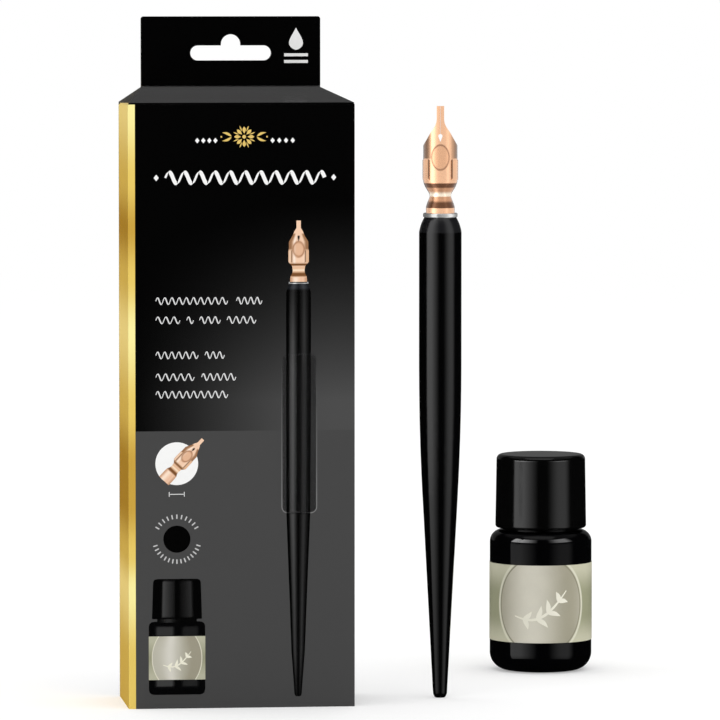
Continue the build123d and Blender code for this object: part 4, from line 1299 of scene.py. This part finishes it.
# %% Screens for the blacks, the glass and the collar
# Turns are in degrees from straight ahead; both glows fade towards the camera.
left, right = np.linspace(-84, -10, 75), np.linspace(9, 80, 72)
left_glow = 1.7 * np.clip((-13 - left) / 43, 0, 1) ** 1.25
right_glow = 0.85 * smooth(right, 10, 48) * (1 - smooth(right, 60, 80))
BLACKS = lit_group("blacks", "pen_holder", "collar", "cap_shell")
GLASS = lit_group("glass_only", "bottle_glass")
COLLAR = lit_group("collar_only", "collar")
heights = (-0.4, -0.13, -0.06, 0.16, 0.2, 0.28, 0.3)
left_rise, right_rise = ((foot, foot, 1.0, 1.0, 3.5, 3.5, 0.0) for foot in (0.36, 0.75))
softbox("left_softbox", BLACKS, left, left_glow, heights, left_rise, 0.9)
softbox("right_softbox", BLACKS, right, right_glow, heights, right_rise, 0.9)
for kind, group, heights, rise, distance in (
    ("glass", GLASS, (-0.4, -0.11, -0.075, -0.055, 0.14, 0.16), (0.6, 1.35, 1.3, 0.6, 0.5, 0.0), 0.86),
    ("shoulder", GLASS, (0.32, 0.36, 1.05, 1.1), (0.0, 8.0, 8.0, 0.0), 0.95),
    ("collar", COLLAR, (0.28, 0.32, 1.2, 1.3), (0.0, 1.0, 1.0, 0.0), 0.8),
):
    for side, turns, glow in (("left", left, left_glow), ("right", right, right_glow)):
        softbox(f"{side}_{kind}_light", group, turns, glow, heights, rise, distance)

# %% Screens for copper and silver
round_about = np.linspace(-160, 150, 156)
all_round = ((-3.0, -1.2, -0.45, 0.75, 1.5, 3.3), (0.6, 0.85, 1.0, 1.0, 0.85, 0.6))
# One broad hump of light 66 degrees to the left, and a small one 47 degrees to the right.
copper_glow = 0.95 + 1.8 * np.exp(-(((round_about + 66) / np.where(round_about < -66, 13, 25)) ** 2))
copper_glow += 0.5 * np.exp(-(((round_about - 47) / 10) ** 2))
COPPERS = lit_group("coppers", "nib", "reservoir", "nib_clip")
softbox("copper_light", COPPERS, round_about, copper_glow, *all_round, 1.0)
silver_turns = (-160, -100, -80, -63, -33, -27, -20, 7, 34, 48, 62, 78, 95, 115, 150)
silver_levels = (0.2, 0.25, 0.45, 1.27, 1.35, 0.5, 0.38, 0.5, 0.62, 0.97, 1.27, 1.2, 0.8, 0.47, 0.38)
silver_glow = np.interp(round_about, silver_turns, silver_levels)
softbox("silver_light", lit_group("silver_only", "ferrule"), round_about, silver_glow, *all_round, 1.05)

# %% What mirrors don't see
for name, node in NODES.items():
    if node.parent.name.split(":")[1] in ("carton", "top_flap", "tuck_flap", "holder"):
        node.visible_glossy = name in ("ferrule", "nib_clip")
front_prints = [thing for thing in bpy.data.objects if thing.name.startswith("front_")]
for piece in front_prints:
    piece.visible_glossy = False
print("unseen by mirrors:", [piece.name for piece in front_prints])

# %% [markdown]
# Above hangs a large softbox, which models the flat tops. The gold wall is seen at a slant at which the
# sky alone leaves it dull, so a small lamp at the left lights that wall and nothing else.

# %% Lamps
def area(name, place, target, size, height, power, group=None):
    lamp = bpy.data.lights.new(name, "AREA")
    lamp.shape, lamp.size, lamp.size_y, lamp.energy = "RECTANGLE", size, height, power
    thing = linked(name, lamp)
    thing.location = place
    thing.rotation_euler = (Vector(target) - Vector(place)).to_track_quat("-Z", "Y").to_euler()
    if group:
        thing.light_linking.receiver_collection = group


GOLD_WALL = lit_group("gold_wall", "left_side_panel", "dust_flap_left")
area("overhead", (-0.05, -0.3, 1.0), (0, 0, 0.08), 0.9, 0.6, 1.2)
area("gold_fill", (-0.62, -0.3, 0.12), (CARTON_LEFT * MM, 0, 0.09), 0.3, 0.3, 1.0, GOLD_WALL)

# %% [markdown]
# The sky is white to the camera and to paper. To mirrors it is nearly black, with a grey patch low behind
# the set, which the sloping top flap mirrors, and a paler one overhead for the cap's top.

# %% Sky
PATCH_BEHIND, PATCH_ABOVE, DARK_ROOM, OPEN_SKY = 0.105, 0.15, 0.006, 1.05
world = bpy.data.worlds.new("studio")
bpy.context.scene.world = world
world.use_nodes = True
tree = world.node_tree
tree.nodes.clear()
rays = outputs(new_node(tree, "LightPath"))
direction = add(tree, "TexCoord", output="Generated")
_, backward, upward = map(Wire, new_node(tree, "SeparateXYZ", {0: direction}).outputs)
# `rising` is 1 from just above the horizon to 30 degrees up; low down the patch is brighter.
rising = spread(upward, 0.01, 0.05) * spread(upward, 0.7, 0.5)
behind = spread(backward, 0.70, 0.82) * rising * (spread(upward, 0.16, 0.1) * 0.4 + 1.0)
above = spread(upward, 0.6, 0.75)
mirror = behind * PATCH_BEHIND + above * PATCH_ABOVE + DARK_ROOM
bounced = rays["Is Diffuse Ray"] * OPEN_SKY + rays["Is Glossy Ray"] * mirror
seen = seen_directly(rays)
background = add(tree, "Background", {"Color": (1, 1, 1, 1), "Strength": seen + (1.0 - seen) * bounced})
fill(new_node(tree, "OutputWorld").inputs[0], background)
print("sky", world.name, "has", len(tree.nodes), "nodes")

# %% [markdown]
# ## Camera
#
# The photograph was taken with a long lens from two metres, slightly above the carton's top and to its
# left: that shows a sliver of the left wall and hardly any convergence. The place is given from the
# carton's front left foot, and the turns are the small angles by which the lens looks right and down.

# %% Camera
LOOKS_DOWN, LOOKS_RIGHT, FROM_FRONT_LEFT_FOOT = 0.0628, 0.1125, (-0.1569, -2.0, 0.230)
eye = bpy.data.cameras.new("camera")
eye.lens, eye.sensor_width, eye.sensor_fit = 339.27, 36.0, "HORIZONTAL"
eye.clip_start, eye.clip_end = 0.1, 100.0
camera = linked("camera", eye)
camera.location = np.array([CARTON_LEFT, CARTON_FRONT, 0.0]) * MM + FROM_FRONT_LEFT_FOOT
camera.rotation_euler = (pi / 2 - LOOKS_DOWN, 0.0, -LOOKS_RIGHT)
bpy.context.scene.camera = camera
bpy.context.scene.view_settings.view_transform = "Standard"
print("camera at", [round(v, 4) for v in camera.location])

# %% Sizes, and the end
boxes = [[list(corner) for corner in pair] for pair in (CAD_BOX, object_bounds())]
growth = np.subtract(boxes[1], boxes[0]) / MM
print("grown by, in mm:", growth.round(3).tolist())
